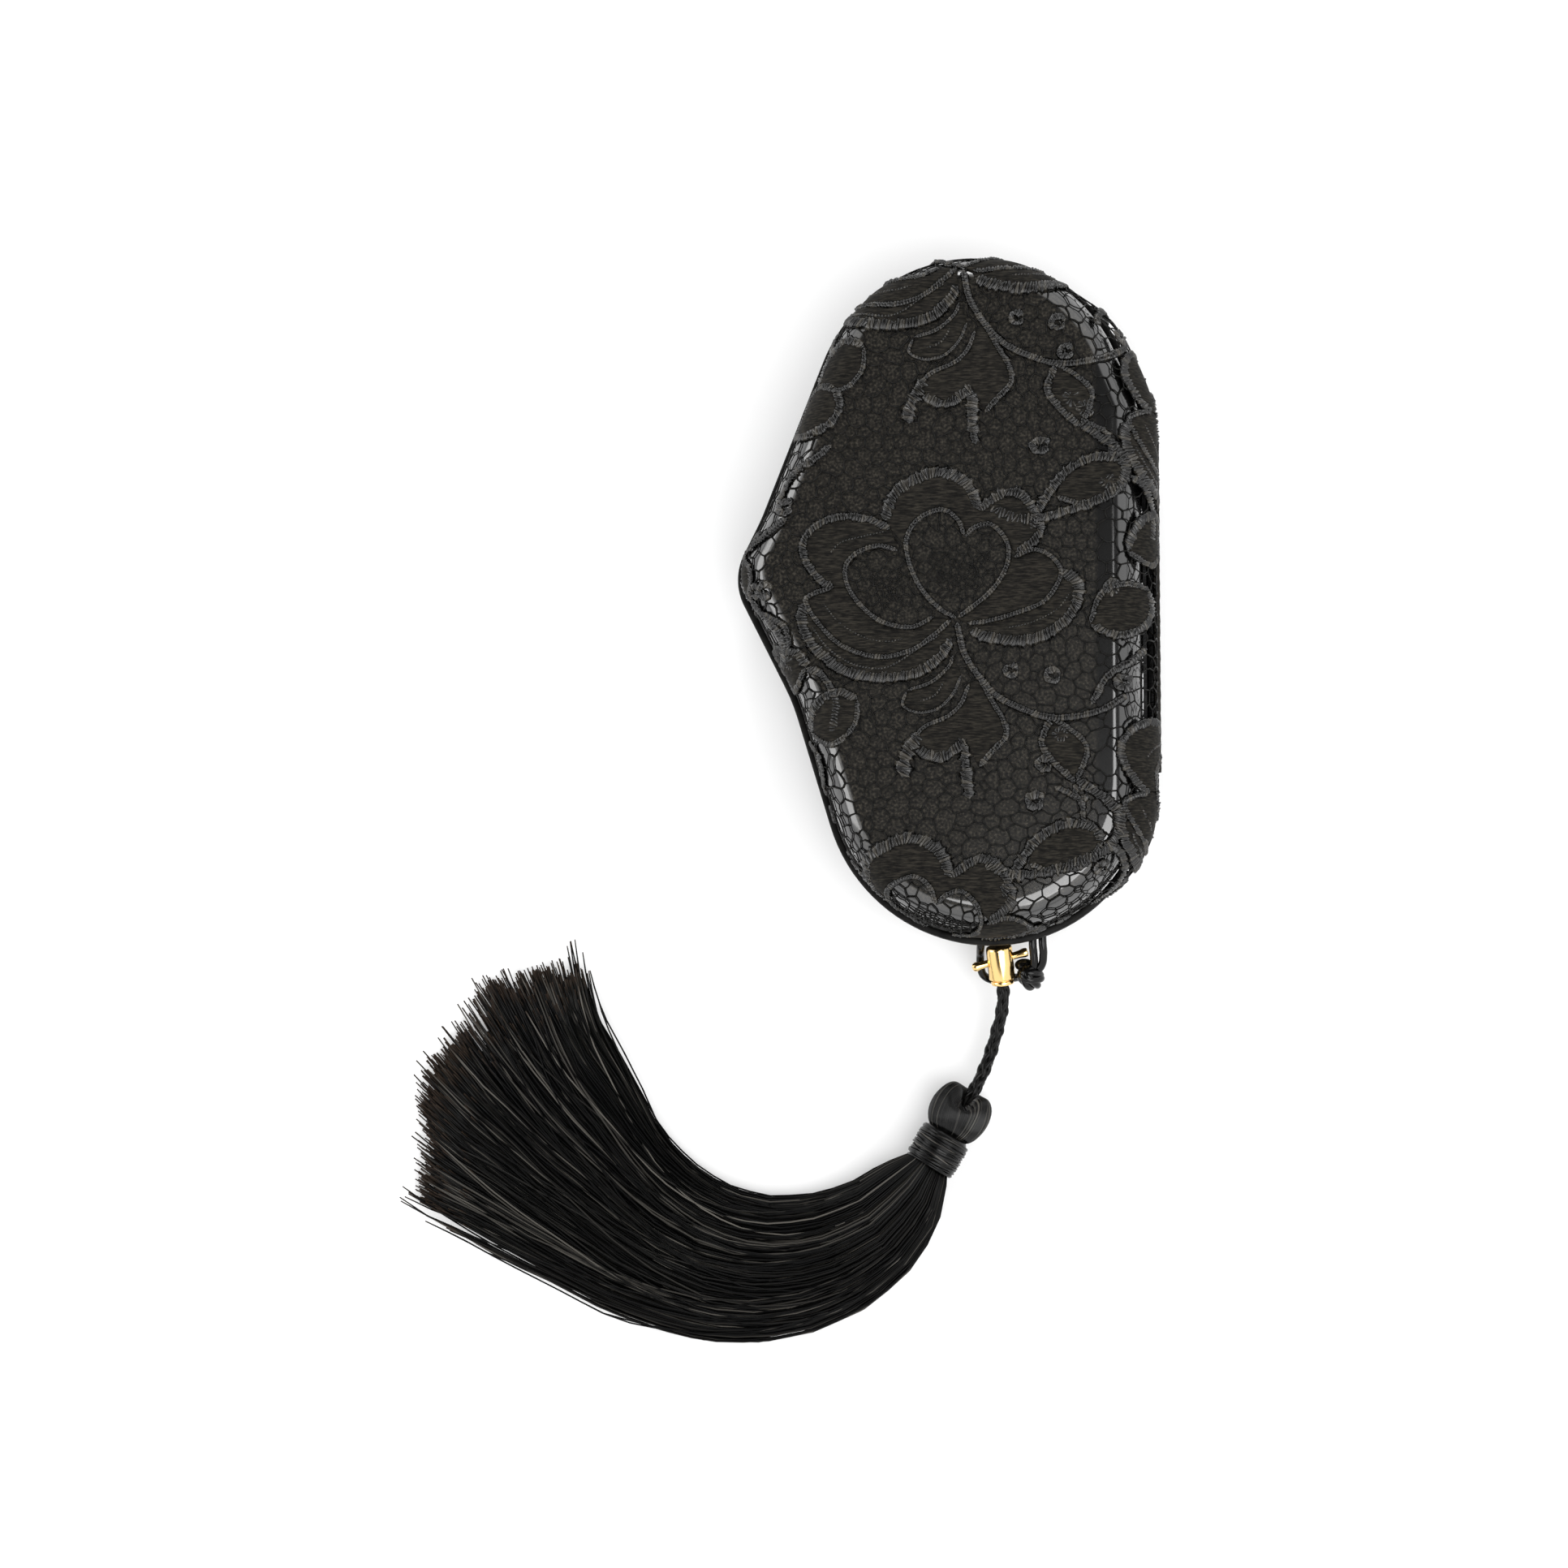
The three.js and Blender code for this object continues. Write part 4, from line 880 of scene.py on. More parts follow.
AXIS = np.array([math.cos(math.radians(TASSEL_TURN)), math.sin(math.radians(TASSEL_TURN))])
BALL_CENTRE = CLASP[:2] + BALL_PLACE
SKIRT_START = BALL_CENTRE - AXIS * (BALL_LENGTH / 2 + FIT_GAP + COLLAR_LENGTH + LOCK_START)


# A point of the tassel head: along its axis from the ball's middle, across it, and up.
def head_points(points):
    p = np.asarray(points, float)
    flat = BALL_CENTRE + p[:, 1:2] * AXIS + p[:, 0:1] * np.array([AXIS[1], -AXIS[0]])
    return np.concatenate([flat, BALL_RADIUS + p[:, 2:3]], 1)


# The cord's whole line: to the ball, then through the head and the heart of the skirt.
def cord_line():
    head = head_points([(0, y, 0) for y in (-4, -9, -15)])
    share = np.linspace(0.04, CORD_END_SHARE, 12)
    middle, _, _, height = skirt_section(share)
    heart = np.column_stack([middle, skirt_lift(share, height)])
    return np.concatenate([CORD_ROUTE + np.array([CLASP[0], CLASP[1], 0]), head, heart])


# Braid of eight strands, four each way round, over and under each other.
def braided_cord(finish):
    pitch, strand, middle, weave = 25.0, 0.74, 1.08, 0.28
    route = cord_line()
    line = catmull(route, 0.4)
    gone = gone_along(line)
    tangent = unit(np.gradient(line, axis=0))
    side = unit(np.cross(tangent, [0, 0, 1.0]))
    up = np.cross(side, tangent)
    parts = []
    for way in (1, -1):
        for k in range(4):
            angle = way * 2 * math.pi * gone / pitch + k * math.pi / 2
            reach = middle + way * weave * np.cos(8 * math.pi * gone / pitch)
            path = line + side * (reach * np.cos(angle))[:, None] + up * (reach * np.sin(angle))[:, None]
            parts.append(tube(path, strand, 6))
    piece = add_mesh("tassel_braid", merge(parts), finish, "base")
    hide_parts("tassel_cord")
    path = row(catmull(route, 1.0))
    return piece, path, float(gone_along(path)[-1])


# Padded ring of threads, drawn in round the cord above and round the neck below.
def thread_ball(finish):
    ring = BALL_RADIUS * BALL_RING_SHARE
    fat = BALL_RADIUS * BALL_OUTER_SHARE - ring
    count = BALL_THREADS * len(THREAD_SECTION)
    number, phase = np.divmod(np.arange(count), len(THREAD_SECTION))
    a = np.linspace(BALL_SWEEP, -BALL_SWEEP, BALL_RINGS)[:, None]
    straight = around(count)[None]
    turn = straight + BALL_TWIST * a + BALL_SWAY * np.sin(4 * straight + 1.7 * a)
    crowd = np.clip((ring + fat * np.cos(a)) / (BALL_RADIUS * 0.6), 0.1, 1)
    thread = THREAD_SECTION[phase] * rng.uniform(0.55, 1, BALL_THREADS)[number]
    ridge = thread[None] * BALL_RIDGE * crowd
    wander = BALL_WANDER * np.sin(turn * 5 + 3 * a)
    radius = np.maximum(ring + (fat + ridge + wander - 0.2) * np.cos(a), 0.3)
    off_top = (turn + math.pi / 2) % (2 * math.pi) - math.pi
    notch = BALL_NOTCH * np.exp(-(off_top / NOTCH_WIDTH) ** 2) * smoothstep(0, 0.9, np.sin(a))
    y = (BALL_LENGTH / 2 + ridge - 0.3) * np.sin(a) - notch
    points, faces = flipped(loft(np.stack([radius * np.cos(turn), y, radius * np.sin(turn)], 2)))
    uv = np.full((len(points), 2), 0.5)
    uv[:, 0] += np.tile(number, BALL_RINGS)
    piece = add_mesh("thread_ball", (head_points(points), faces, uv), finish, "base")
    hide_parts("tassel_ball")
    return piece


# Collar of thread turns that lean and cross each other, round a dark neck that reaches into the ball.
def wound_collar(finish):
    start = -BALL_LENGTH / 2 - FIT_GAP
    end = start - COLLAR_LENGTH
    angle = around(64)
    neck = [
        (4.2, start + 2.5), (6.4, start + 0.6), (7, start - 0.4), (7.1, start - 5), (7, end + 0.3),
        (5.3, end),
    ]
    parts = [turned(neck, 48)]
    for k in range(COLLAR_TURNS + COLLAR_CROSSINGS):
        crossing = k >= COLLAR_TURNS
        share = rng.random() if crossing else k / (COLLAR_TURNS - 1)
        place = start - 0.2 - (COLLAR_LENGTH - 0.5) * share
        lean, way = rng.uniform(*COLLAR_LEAN), rng.uniform(0, 2 * math.pi)
        swell = COLLAR_SWELL * math.sin(math.pi * share)
        radius = COLLAR_RADIUS + swell + (CROSSING_RISE if crossing else rng.uniform(-0.15, 0.2))
        along = place + radius * lean * np.sin(angle - way) * 0.6 + 0.16 * np.sin(3 * angle + 2 * way)
        along = np.clip(along, end + 0.2, start + 0.1)
        ring = np.stack([radius * np.cos(angle), along, radius * np.sin(angle)], 1)
        points, faces, _ = tube(ring, COLLAR_THREAD, 6, closed=True)
        parts.append((points, faces, np.full((len(points), 2), [k + 0.5, 0.5])))
    points, faces, uv = merge(parts)
    piece = add_mesh("wound_collar", (head_points(points), faces, uv), finish, "base")
    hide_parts("tassel_collar")
    return piece


# The skirt's sections at shares of the way along: middle, way across, width and height.
def skirt_section(share):
    places = np.linspace(0, 1, len(SKIRT_SECTIONS))
    past = np.maximum(np.asarray(share, float) - 1, 0) * (len(places) - 1)
    growth = SKIRT_SECTIONS[-1] - SKIRT_SECTIONS[-2]
    x, y, width, height, turn = [
        np.interp(share, places, SKIRT_SECTIONS[:, k]) + past * growth[k] for k in range(5)
    ]
    turn = np.radians(turn)
    middle = SKIRT_START + np.stack([x, y], -1) * SKIRT_LENGTH
    return middle, np.stack([np.cos(turn), np.sin(turn)], -1), width * SKIRT_LENGTH, height * SKIRT_LENGTH


def skirt_lift(share, height):
    t = np.minimum(1, share / LANDING_SHARE)
    return BALL_RADIUS * (1 - t) + height / 2 * t


# Height of the section across it: round by the collar and flatter further on.
def skirt_crown(across, share):
    return np.sqrt(np.maximum(1 - across ** 2 * (1 - SKIRT_FLATTENING * share), 0.02))


def reach_at(across):
    return np.interp(across, np.linspace(-1, 1, len(THREAD_REACH)), THREAD_REACH)


# Threads of the skirt from inside the collar. across and layer are -1 to 1 in the section, drift is how
# far a thread moves across by its end, and most is how far out it may come.
def add_threads(name, finish, across, layer, reach, drift, radius, steps=17, most=1.0):
    count = len(across)
    t = np.linspace(0, 1, steps)[None, :] ** 0.9
    share = t * reach[:, None]
    middle, side, width, height = skirt_section(share)
    phase = rng.uniform(0, 2 * math.pi, (count, 1))
    waves = rng.uniform(*THREAD_WAVES, (count, 1))
    bend = rng.normal(0, THREAD_BEND, (count, 1)) * np.sin(waves * share + phase) * share
    tip = rng.normal(0, TIP_LEAN, (count, 1)) * smoothstep(0.86, 1, t)
    a = np.clip(across[:, None] + drift[:, None] * smoothstep(0.15, 1, share) + bend + tip, -most, most)
    crown = skirt_crown(np.minimum(np.abs(a), 1), share)
    z = skirt_lift(share, height) + layer[:, None] * crown * height / 2 * 0.95
    flat = middle + side * (a * width / 2)[..., None]
    line = np.concatenate([flat, np.maximum(z, radius * 1.1)[..., None]], 2)
    gather = np.array([*SKIRT_START, BALL_RADIUS])
    inside = gather + (line[:, :1] - gather) * 0.7 + np.array([*AXIS * 4, 0])
    part = many_tubes(
        np.concatenate([inside, line], 1), [0, 0, 1.0], radius, 3,
        offset=math.pi / 6, tip=0.75, share=np.concatenate([[[0]], t], 1),
    )
    return add_mesh(name, part, finish, "base")


# Dark heart of the skirt, a flattened tube that the threads cover.
def skirt_core(finish):
    angle = around(28)
    rings = []
    for share in np.linspace(0, CORE_END_SHARE, 30):
        middle, side, width, height = skirt_section(share)
        a = np.cos(angle) * (0.8 if share < CORE_END_SHARE else 0.6)
        z = skirt_lift(share, height) + np.sin(angle) * skirt_crown(a, share) * height / 2 * 0.5
        rings.append(np.column_stack([middle + side * (a * width / 2)[:, None], np.maximum(z, 0.15)]))
    return add_mesh("skirt_core", loft(rings), finish, "base")


# Threads lie in clumps that lean together and end together; a few cross over or stand out.
def add_skirt(finish, dark):
    core = skirt_core(dark)
    pieces = [core]
    clump_lean = rng.normal(0, CLUMP_LEAN, CLUMPS)
    clump_cut = rng.normal(0, CLUMP_CUT, CLUMPS)
    for name, count, low, high, radius in SKIRT_LAYERS:
        across = rng.uniform(-1, 1, count)
        clump = ((across + 1) / 2 * CLUMPS).astype(int) + rng.integers(-1, 2, count)
        clump = np.clip(clump, 0, CLUMPS - 1)
        centre = (clump + 0.5) / CLUMPS * 2 - 1
        drift = (centre - across) * CLUMP_PULL + clump_lean[clump] + rng.normal(0, 0.05, count)
        drift = np.where(rng.random(count) < CROSSING_SHARE, rng.normal(0, CROSSING_DRIFT, count), drift)
        reach = reach_at(across + drift) + clump_cut[clump] + rng.normal(0, 0.005, count)
        reach = reach + np.where(rng.random(count) < LONG_SHARE, rng.uniform(*LONG_REACH, count), 0)
        pieces.append(add_threads(name, finish, across, rng.uniform(low, high, count), reach, drift, radius))
    pieces.append(skirt_strays(finish))
    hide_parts("tassel_skirt")
    return pieces


# Single threads that leave the bundle: a fan at the inner end, long ones along both edges, and some that
# cross on top.
def skirt_strays(finish):
    fan = rng.uniform(0.66, 0.95, 14)
    edge = np.concatenate([rng.uniform(-1.08, -0.96, 14), rng.uniform(0.94, 1.03, 9)])
    drift = np.concatenate([rng.uniform(0.0, 0.14, 14), rng.uniform(-0.03, 0.03, len(edge))])
    reach = np.concatenate([rng.uniform(0.925, 0.952, 14), rng.uniform(0.86, 0.95, len(edge))])
    layer = rng.uniform(-0.3, 0.7, len(drift))
    loose = rng.uniform(-0.9, 0.85, LOOSE_THREADS)
    loose_drift = rng.normal(0, 0.3, LOOSE_THREADS)
    across = np.concatenate([fan, edge, loose])
    drift = np.concatenate([drift, loose_drift])
    reach = np.concatenate([reach, reach_at(loose + loose_drift) - rng.uniform(0, 0.06, LOOSE_THREADS)])
    layer = np.concatenate([layer, rng.uniform(0.98, 1.15, LOOSE_THREADS)])
    return add_threads("skirt_strays", finish, across, layer, reach, drift, LOOSE_RADIUS, 24, 1.1)


def turned_by(axis, degrees):
    return np.array(Matrix.Rotation(math.radians(degrees), 3, axis))


# Gold pieces in the place and at the slant of the toggle.
def gold_piece(name, profile, sides, finish, turn=0.0, rise=0.0):
    slant = turned_by("Z", TOGGLE_TURN) @ turned_by("X", TOGGLE_DROOP)
    points, faces = turned(profile, sides)
    points = (points @ turned_by("Z", turn).T + np.array([0, rise, 0])) @ slant.T
    piece = add_mesh(name, (points + TOGGLE_PLACE + CLASP, faces), finish, "base")
    split_edges(piece)
    return piece


def split_edges(piece):
    split = piece.modifiers.new("edges", "EDGE_SPLIT")
    split.split_angle = SHARP_ANGLE


def toggle_barrel(finish):
    half = BARREL_LENGTH / 2
    foot = half + FOOT_LENGTH
    profile = [
        (0.05, half), (2.9, half), (3.35, half - 0.06), (3.7, half - 0.25), (3.86, half - 0.6),
        (BARREL_RADIUS, half - 1), (BARREL_RADIUS, 0), (BARREL_RADIUS, 0.5 - half), (3.8, 0.22 - half),
        (3.5, 0.04 - half), (3.05, -half), (3.0, -half - 0.3), (3.3, -half - 0.42),
        (FOOT_RADIUS, -half - 0.7), (FOOT_RADIUS, 0.35 - foot), (3.25, 0.1 - foot), (2.95, -foot),
        (BORE_RADIUS, -foot), (BORE_RADIUS, -foot + 3), (0.05, -foot + 3),
    ]
    piece = gold_piece("clasp_barrel", profile, 64, finish)
    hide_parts("toggle_barrel")


def toggle_bar(finish):
    half = BAR_LENGTH / 2
    profile = [
        (0.05, -half), (0.75, -half), (1.15, 0.3 - half), (1.4, 1 - half), (1.4, 1.35 - half),
        (1.15, 2.3 - half), (1.08, -4.6), (1.08, 4.6), (1.15, half - 2.6), (1.4, half - 1.2),
        (1.4, half - 0.8), (1.25, half - 0.2), (1.0, half), (0.05, half),
    ]
    piece = gold_piece("clasp_bar", profile, 32, finish, BAR_ANGLE - 90, BAR_ABOVE_MIDDLE)
    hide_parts("toggle_bar")


def knotted_loop(finish):
    radius = LOOP_DIAMETER / 2
    parts = [tube(catmull(route, 0.35) + CLASP, radius, 16) for route in LOOP_ROUTES]
    angle = around(56)
    for k in range(4):
        squeeze = (KNOT_RADIUS - radius) * (1 - 0.1 * np.cos(2 * angle + k))
        ring = np.stack([np.cos(angle), np.sin(angle), 0.13 * np.sin(2 * angle + k)], 1) * squeeze[:, None]
        turn = turned_by("Y", 24 * k - 26) @ turned_by("Z", 52 * k + 20) @ turned_by("X", 70)
        ring = ring @ turn.T + np.array(KNOT_PLACE) + CLASP
        parts.append(tube(ring, radius, 14, closed=True))
    profile = [(max(math.sin(a), 0.02), -math.cos(a)) for a in np.linspace(0, math.pi, 20)]
    bead, bead_faces = turned(profile, 28)
    parts.append((bead * BEAD_SIZE + np.array(BEAD_PLACE) + CLASP, bead_faces))
    piece = add_mesh("knotted_loop", merge(parts), finish, "base")
    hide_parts("cord_loop")


# Rings of one half of the shell from the seam to the flat face, at a depth under the outer face.
def shell_rings(side, depth, raised=0.0, steps=14):
    wall = [(0, SEAM_GAP / 2), (SIDE_LEAN * 0.5, SIDE_HEIGHT * 0.5), (SIDE_LEAN, SIDE_HEIGHT)]
    profile = [(WALL_INSET + lean + depth, height) for lean, height in wall]
    reach = FACE_INSET - SIDE_INSET - depth
    for angle in math.pi / 2 * np.arange(1, steps + 1) / steps:
        height = SIDE_HEIGHT + (SHOULDER_HEIGHT - depth) * math.sin(angle)
        profile.append((FACE_INSET - reach * math.cos(angle), height))
    return [shell_ring(inset, height + raised, side) for inset, height in profile]


def shell_ring(inset, height, side):
    z = np.full(len(outline), MIDDLE + side * height * SQUASH[side])
    return np.column_stack([outline - outward * inset, z])[::side]


# One half of the shell: smooth outside, lining inside, and the lip at the seam.
def half_shell(side, body, finish, lining):
    lip = shell_ring(WALL_INSET + CASE_DEPTH, SEAM_GAP / 2, side)
    part = loft(shell_rings(side, 0)[::-1] + [lip] + shell_rings(side, CASE_DEPTH)[1:])
    shell = add_mesh(f"{WORD[side]}_case", flipped(part), finish, body)
    split_edges(shell)
    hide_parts(f"{WORD[side]}_shell")
    cloth = shell_rings(side, LINING_DEPTH, LINING_RAISED)
    part = loft(cloth[::-1] + shell_rings(side, SHELL_WALL, LINING_RAISED))
    split_edges(add_mesh(f"{WORD[side]}_lining", flipped(part), lining, body))


# Bound edge along the seam, open along the hinge.
def bound_edge(side, body, finish):
    half = HINGE_LENGTH / 2 + FIT_GAP
    in_gap = (outward[:, 0] > 0.95) & (np.abs(outline[:, 1] - HINGE_MIDDLE) < half)
    start = int(np.flatnonzero(in_gap & ~np.roll(in_gap, -1))[0])
    order = np.roll(np.arange(len(outline)), -start)
    keep = order[~in_gap[order]]
    turn = around(14)
    reach, rise = [np.sign(wave) * np.abs(wave) ** 0.6 for wave in (np.cos(turn), np.sin(turn))]
    inset = RIM_WIDTH / 2 * (1 - reach)
    z = MIDDLE + side * (SEAM_GAP / 2 + RIM_HEIGHT / 2 * (1 + rise))
    flat = np.vstack([[0, HINGE_MIDDLE + half], outline[keep], [0, HINGE_MIDDLE - half]])
    way = np.vstack([[1, 0], outward[keep], [1, 0]])
    part = loft([np.column_stack([p - n * inset[:, None], z]) for p, n in zip(flat, way)])
    part = part if side > 0 else flipped(part)
    piece = add_mesh(f"{WORD[side]}_binding", part, finish, body)
    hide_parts(f"{WORD[side]}_rim")


# Lace points in the flat plane of the bag, from hundredths of the repeat.
def laid(points, place):
    return FLOWER_PLACE + (np.asarray(points, float) + np.asarray(place)) * LACE_UNIT


def in_polygon(points, polygon):
    x, y = points[:, 0][:, None], points[:, 1][:, None]
    a, b = polygon, np.roll(polygon, -1, 0)
    crosses = (a[:, 1] > y) != (b[:, 1] > y)
    slope = (b[:, 0] - a[:, 0]) / np.where(b[:, 1] == a[:, 1], 1e-9, b[:, 1] - a[:, 1])
    return (crosses & (x < a[:, 0] + (y - a[:, 1]) * slope)).sum(1) % 2 == 1


def patch_outlines():
    loops = []
    for place in FLOWER_PLACES:
        for lines in PATCHES:
            loop = np.vstack([catmull(line, 1.0) if len(line) > 1 else line for line in lines])
            step = np.linalg.norm(loop - np.roll(loop, 1, 0), axis=1)
            loops.append(laid(loop[step > 0.3], place))
    return loops


def near_bag(points):
    return ((points > lace_low) & (points < lace_high)).all(1)


def hex_points(low, high, spacing, jitter):
    points = []
    for k, y in enumerate(np.arange(low[1], high[1], spacing * 0.866)):
        x = np.arange(low[0] + (k % 2) * spacing / 2, high[0], spacing)
        points.append(np.stack([x, np.full(len(x), y)], 1))
    points = np.vstack(points)
    return points + rng.normal(0, jitter, points.shape)


def triangulated(points, edges, kind):
    corners, _, faces, *_ = delaunay_2d_cdt([Vector(p) for p in points], edges, [], kind, 1e-4)
    return np.array([corner[:] for corner in corners]), faces


# Closed cloth: each patch is filled with small triangles and rises away from its edge.
def patch_meshes(loops):
    parts = []
    for loop in loops:
        if not near_bag(loop).any() or over_edge(loop)[2].min() > SEAM_DISTANCE - 4:
            continue
        inner = hex_points(loop.min(0), loop.max(0), CLOTH_CELL, 0.05)
        inner = inner[in_polygon(inner, loop)]
        inner = inner[np.linalg.norm(inner[:, None] - loop[None], axis=2).min(1) > 0.7]
        edges = [(i, (i + 1) % len(loop)) for i in range(len(loop))]
        points, faces = triangulated(np.vstack([loop, inner]), edges, 1)
        gap = np.linalg.norm(points[:, None] - loop[None], axis=2).min(1)
        parts.append((points, faces, CLOTH_PUFF * (1 - np.exp(-gap / 2.2))))
    return parts


# Stitched band: raised stitches across a line, each in four rows with a hollow before it.
def stitched_rows(line, width, height, ragged):
    path = catmull(line, STITCH_PITCH / len(ROW_HEIGHTS))
    tangent = unit(np.gradient(path, axis=0))
    side = np.stack([-tangent[:, 1], tangent[:, 0]], 1)
    row_index = np.arange(len(path))
    stitch, phase = np.divmod(row_index, len(ROW_HEIGHTS))
    count = stitch[-1] + 1

    def spread_out(values):
        before = values[np.maximum(stitch - 1, 0)]
        return np.where(phase == 0, (values[stitch] + before) / 2, values[stitch])

    left = spread_out(1 + rng.uniform(-ragged, ragged * 1.1, count))
    right = spread_out(1 + rng.uniform(-ragged * 0.5, ragged * 0.6, count))
    slant = spread_out(STITCH_SLANT + rng.normal(0, 0.09 + ragged * 0.3, count))
    tall = spread_out(1 + rng.normal(0, STITCH_UNEVEN, count))
    way = side * np.cos(slant)[:, None] + tangent * np.sin(slant)[:, None]
    reach = np.where(ACROSS[None] < 0, right[:, None], left[:, None]) * ACROSS[None] * width / 2
    reach = reach * np.where(phase == 0, 0.93, 1)[:, None]
    taper = smoothstep(-1, 7, np.minimum(row_index, row_index[::-1]))[:, None]
    flat = path[:, None] + way[:, None] * (reach * taper)[..., None]
    crown = np.sqrt(1 - 0.93 * np.abs(ACROSS) ** 2.4)
    lift = height * crown[None] * (ROW_HEIGHTS[phase] * tall)[:, None] * (0.6 + 0.4 * taper)
    number = (row_index / len(ROW_HEIGHTS) + rng.integers(0, 4000))[:, None]
    return flat, lift, np.stack(np.broadcast_arrays(number, ACROSS[None]), 2)


def band_meshes():
    angle = np.linspace(0, 2 * math.pi, 9)
    circle = np.stack([np.cos(angle), 0.85 * np.sin(angle)], 1)
    bands, rows, start = [], [], 0
    for place in FLOWER_PLACES:
        lines = [(laid(line, place), w, h, r) for line, w, h, r in BANDS]
        lines += [(laid([at], place) + radius * 0.75 * circle, w * 0.95, 0.7, 0.6) for at, radius, w in DOTS]
        for line in lines:
            if near_bag(line[0]).any():
                bands.append(stitched_rows(*line))
                rows.append(np.arange(start, start + len(bands[-1][0]) - 1))
                start += len(bands[-1][0])
    return [np.concatenate(part) for part in zip(*bands)] + [np.concatenate(rows)]


# Drops the points that no face uses.
def compact(points, faces, uv):
    used = np.unique(faces)
    back = np.zeros(len(points), int)
    back[used] = np.arange(len(used))
    return points[used], back[faces], uv[used]


def add_bands(flat, lift, uv, rows, side, body, finish):
    columns = len(ACROSS)
    points, _, distance = drape(flat.reshape(-1, 2), LACE_LIFT + STITCH_LIFT + lift.ravel(), side)
    foot, way, _ = over_edge(flat[:, 2])
    inside = distance.reshape(-1, columns).max(1) < lace_limit(way, foot)
    rows = rows[inside[rows] & inside[rows + 1]][:, None] * columns
    c = np.arange(columns)
    c2 = (c + 1) % columns
    faces = np.stack([rows + c, rows + c2, rows + columns + c2, rows + columns + c], 2).reshape(-1, 4)
    part = compact(points, faces[:, ::side], uv.reshape(-1, 2))
    return add_mesh(f"lace_stitches_{WORD[side]}", part, finish, body)


def add_patches(parts, side, body, finish):
    flat, faces, _ = merge([part[:2] for part in parts])
    puff = np.concatenate([part[2] for part in parts])
    faces = np.array(faces)
    foot, way, distance = over_edge(flat)
    inside = distance < lace_limit(way, foot)
    faces = faces[inside[faces].all(1)][:, ::side]
    points, _, _ = drape(flat, LACE_LIFT + CLOTH_LIFT + puff, side)
    piece = add_mesh(f"lace_cloth_{WORD[side]}", compact(points, faces, flat)[:2], finish, body)
    thick = piece.modifiers.new("thickness", "SOLIDIFY")
    thick.thickness = CLOTH_THICKNESS * MM
    thick.offset = -1


# The net between the figures: threads along the borders of uneven cells, finer in the flower's heart.
def net_threads(loops):
    cells = hex_points(lace_low, lace_high, NET_CELL, NET_CELL * NET_JITTER)
    for place in FLOWER_PLACES:
        for line in (HEART_MIDDLE, PETAL_MIDDLE):
            spot = laid(line, place)
            small = hex_points(spot.min(0), spot.max(0), FINE_CELL, FINE_CELL * NET_JITTER)
            cells = np.vstack([cells[~in_polygon(cells, spot)], small[in_polygon(small, spot)]])
    corners, faces = triangulated(cells, [], 0)
    faces = np.array(faces)
    middles = corners[faces].mean(1)
    shared, edges = {}, []
    for k, face in enumerate(faces):
        for i in range(3):
            key = tuple(sorted((face[i], face[(i + 1) % 3])))
            if key in shared:
                edges.append((shared[key], k))
            shared[key] = k
    a, b = middles[np.array(edges).T]
    short = np.linalg.norm(a - b, axis=1) < NET_CELL * 1.6
    a, b = a[short], b[short]
    middle = (a + b) / 2
    covered = np.zeros(len(a), bool)
    for loop in loops:
        hit = np.flatnonzero(((middle > loop.min(0)) & (middle < loop.max(0))).all(1))
        covered[hit[in_polygon(middle[hit], loop)]] = True
    return a[~covered], b[~covered]


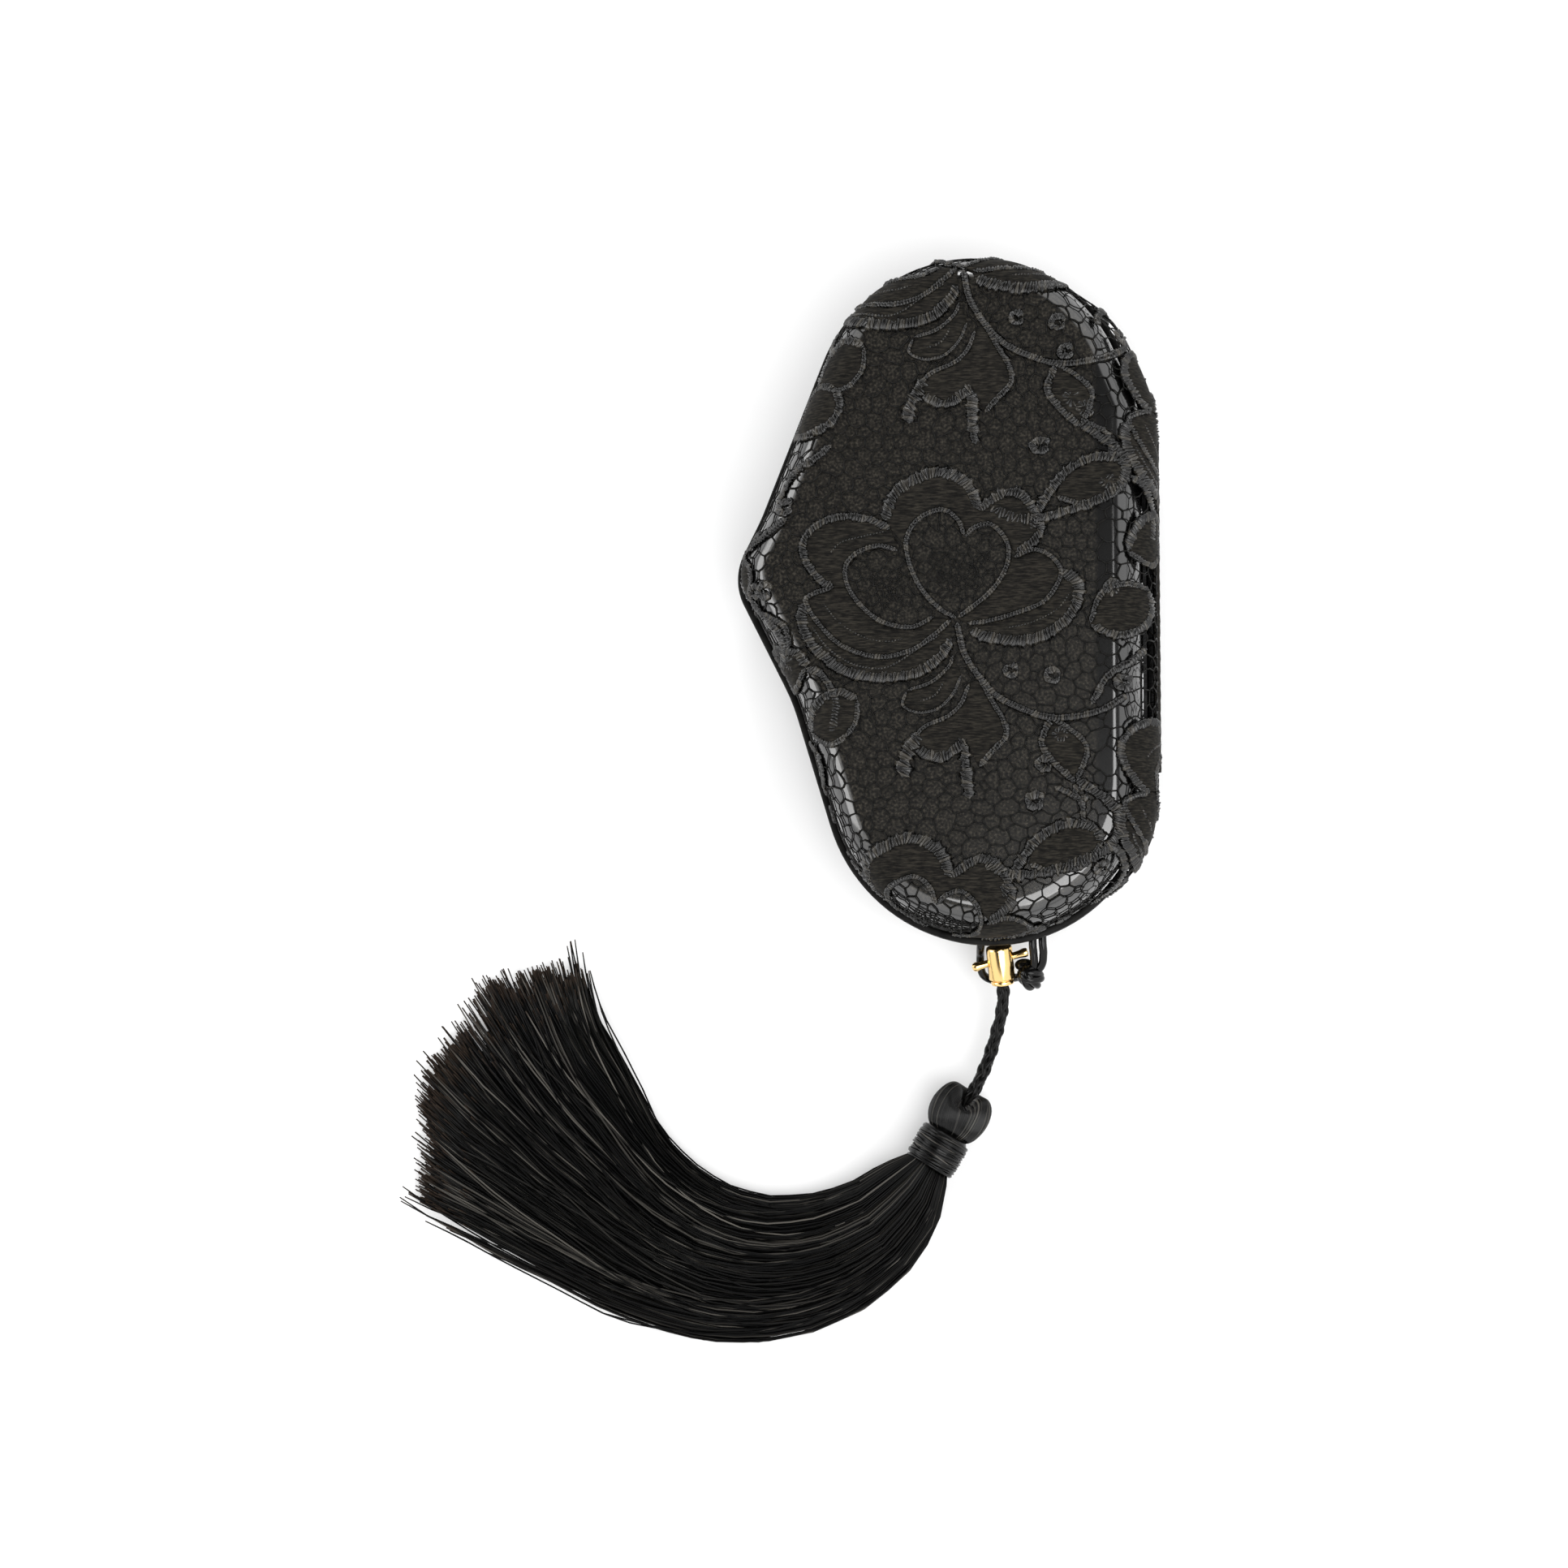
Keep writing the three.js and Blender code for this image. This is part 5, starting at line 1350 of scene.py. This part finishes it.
def add_net(a, b, side, body, finish):
    foot, way, distance_a = over_edge(a)
    limit = lace_limit(way, foot) + 0.8
    keep = (distance_a < limit) & (over_edge(b)[2] < limit)
    a, b = a[keep], b[keep]
    t = np.linspace(0, 1, 3)
    flat = a[:, None] * (1 - t[None, :, None]) + b[:, None] * t[None, :, None]
    flat[:, 1] += rng.normal(0, NET_SWAY, (len(a), 2))
    lines, normals, _ = drape(flat.reshape(-1, 2), np.full(flat.shape[0] * 3, LACE_LIFT), side)
    part = many_tubes(
        lines.reshape(-1, 3, 3), normals.reshape(-1, 3, 3), NET_THREAD, 4, stretch=NET_THREAD * 0.6,
    )
    add_mesh(f"lace_net_{WORD[side]}", part[:2], finish, body)


# Soft cover over the hinge.
def hinge_cover(finish):
    half = HINGE_LENGTH / 2 + COVER_PAST_HINGE
    angle = np.linspace(-COVER_SWEEP, COVER_SWEEP, 17)
    rings = []
    for y in np.linspace(HINGE_MIDDLE - half, HINGE_MIDDLE + half, 80):
        ripple = 0.06 * math.sin(y * 1.7) + 0.04 * math.sin(y * 0.61)
        ring = []
        for radius, turn in zip(COVER_RADII, (angle, angle[::-1])):
            radius += ripple
            x, z = HINGE_OUT + radius * np.cos(turn), MIDDLE + COVER_STRETCH * radius * np.sin(turn)
            ring += list(zip(x, [y] * len(turn), z))
        rings.append(ring)
    piece = add_mesh("hinge_cover", loft(rings), finish, None)
    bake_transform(piece)


def repaint(names, finish):
    for name in names:
        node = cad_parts[name]
        if not node.material_slots:
            node.data.materials.append(None)
        for slot in node.material_slots:
            slot.material = finish


lace_low, lace_high = outline.min(0) - 20, outline.max(0) + 20

add_camera()
add_studio()

silk_thread = silk()
cord, cord_path, cord_length = braided_cord(silk_thread)
fringe_thread, wound_thread = fringe(), wound_silk()
ball = thread_ball(wound_thread)
collar = wound_collar(wound_thread)
skirt = add_skirt(fringe_thread, silk_thread)

gold = gold_plate()
toggle_barrel(gold)
toggle_bar(gold)
knotted_loop(loop_satin())

shell, lining, binding = shell_finish(), close_cloth(), rim_cloth()
half_shell(1, "lid", shell, lining)
half_shell(-1, "base", shell, lining)
bound_edge(1, "lid", binding)
bound_edge(-1, "base", binding)
repaint(["back_hinge", "front_hinge", "hinge_pin"], hinge_metal())

stitch, net, cloth = satin_thread(), net_thread(), close_cloth()
loops = patch_outlines()
patches = patch_meshes(loops)
bands = band_meshes()
threads = net_threads(loops)
for side, body in ((1, "lid"), (-1, "base")):
    stitches = add_bands(*bands, side, body, stitch)
    add_patches(patches, side, body, cloth)
    add_net(*threads, side, body, net)
    if side > 0:
        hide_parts("lace_front")
hinge_cover(cloth)
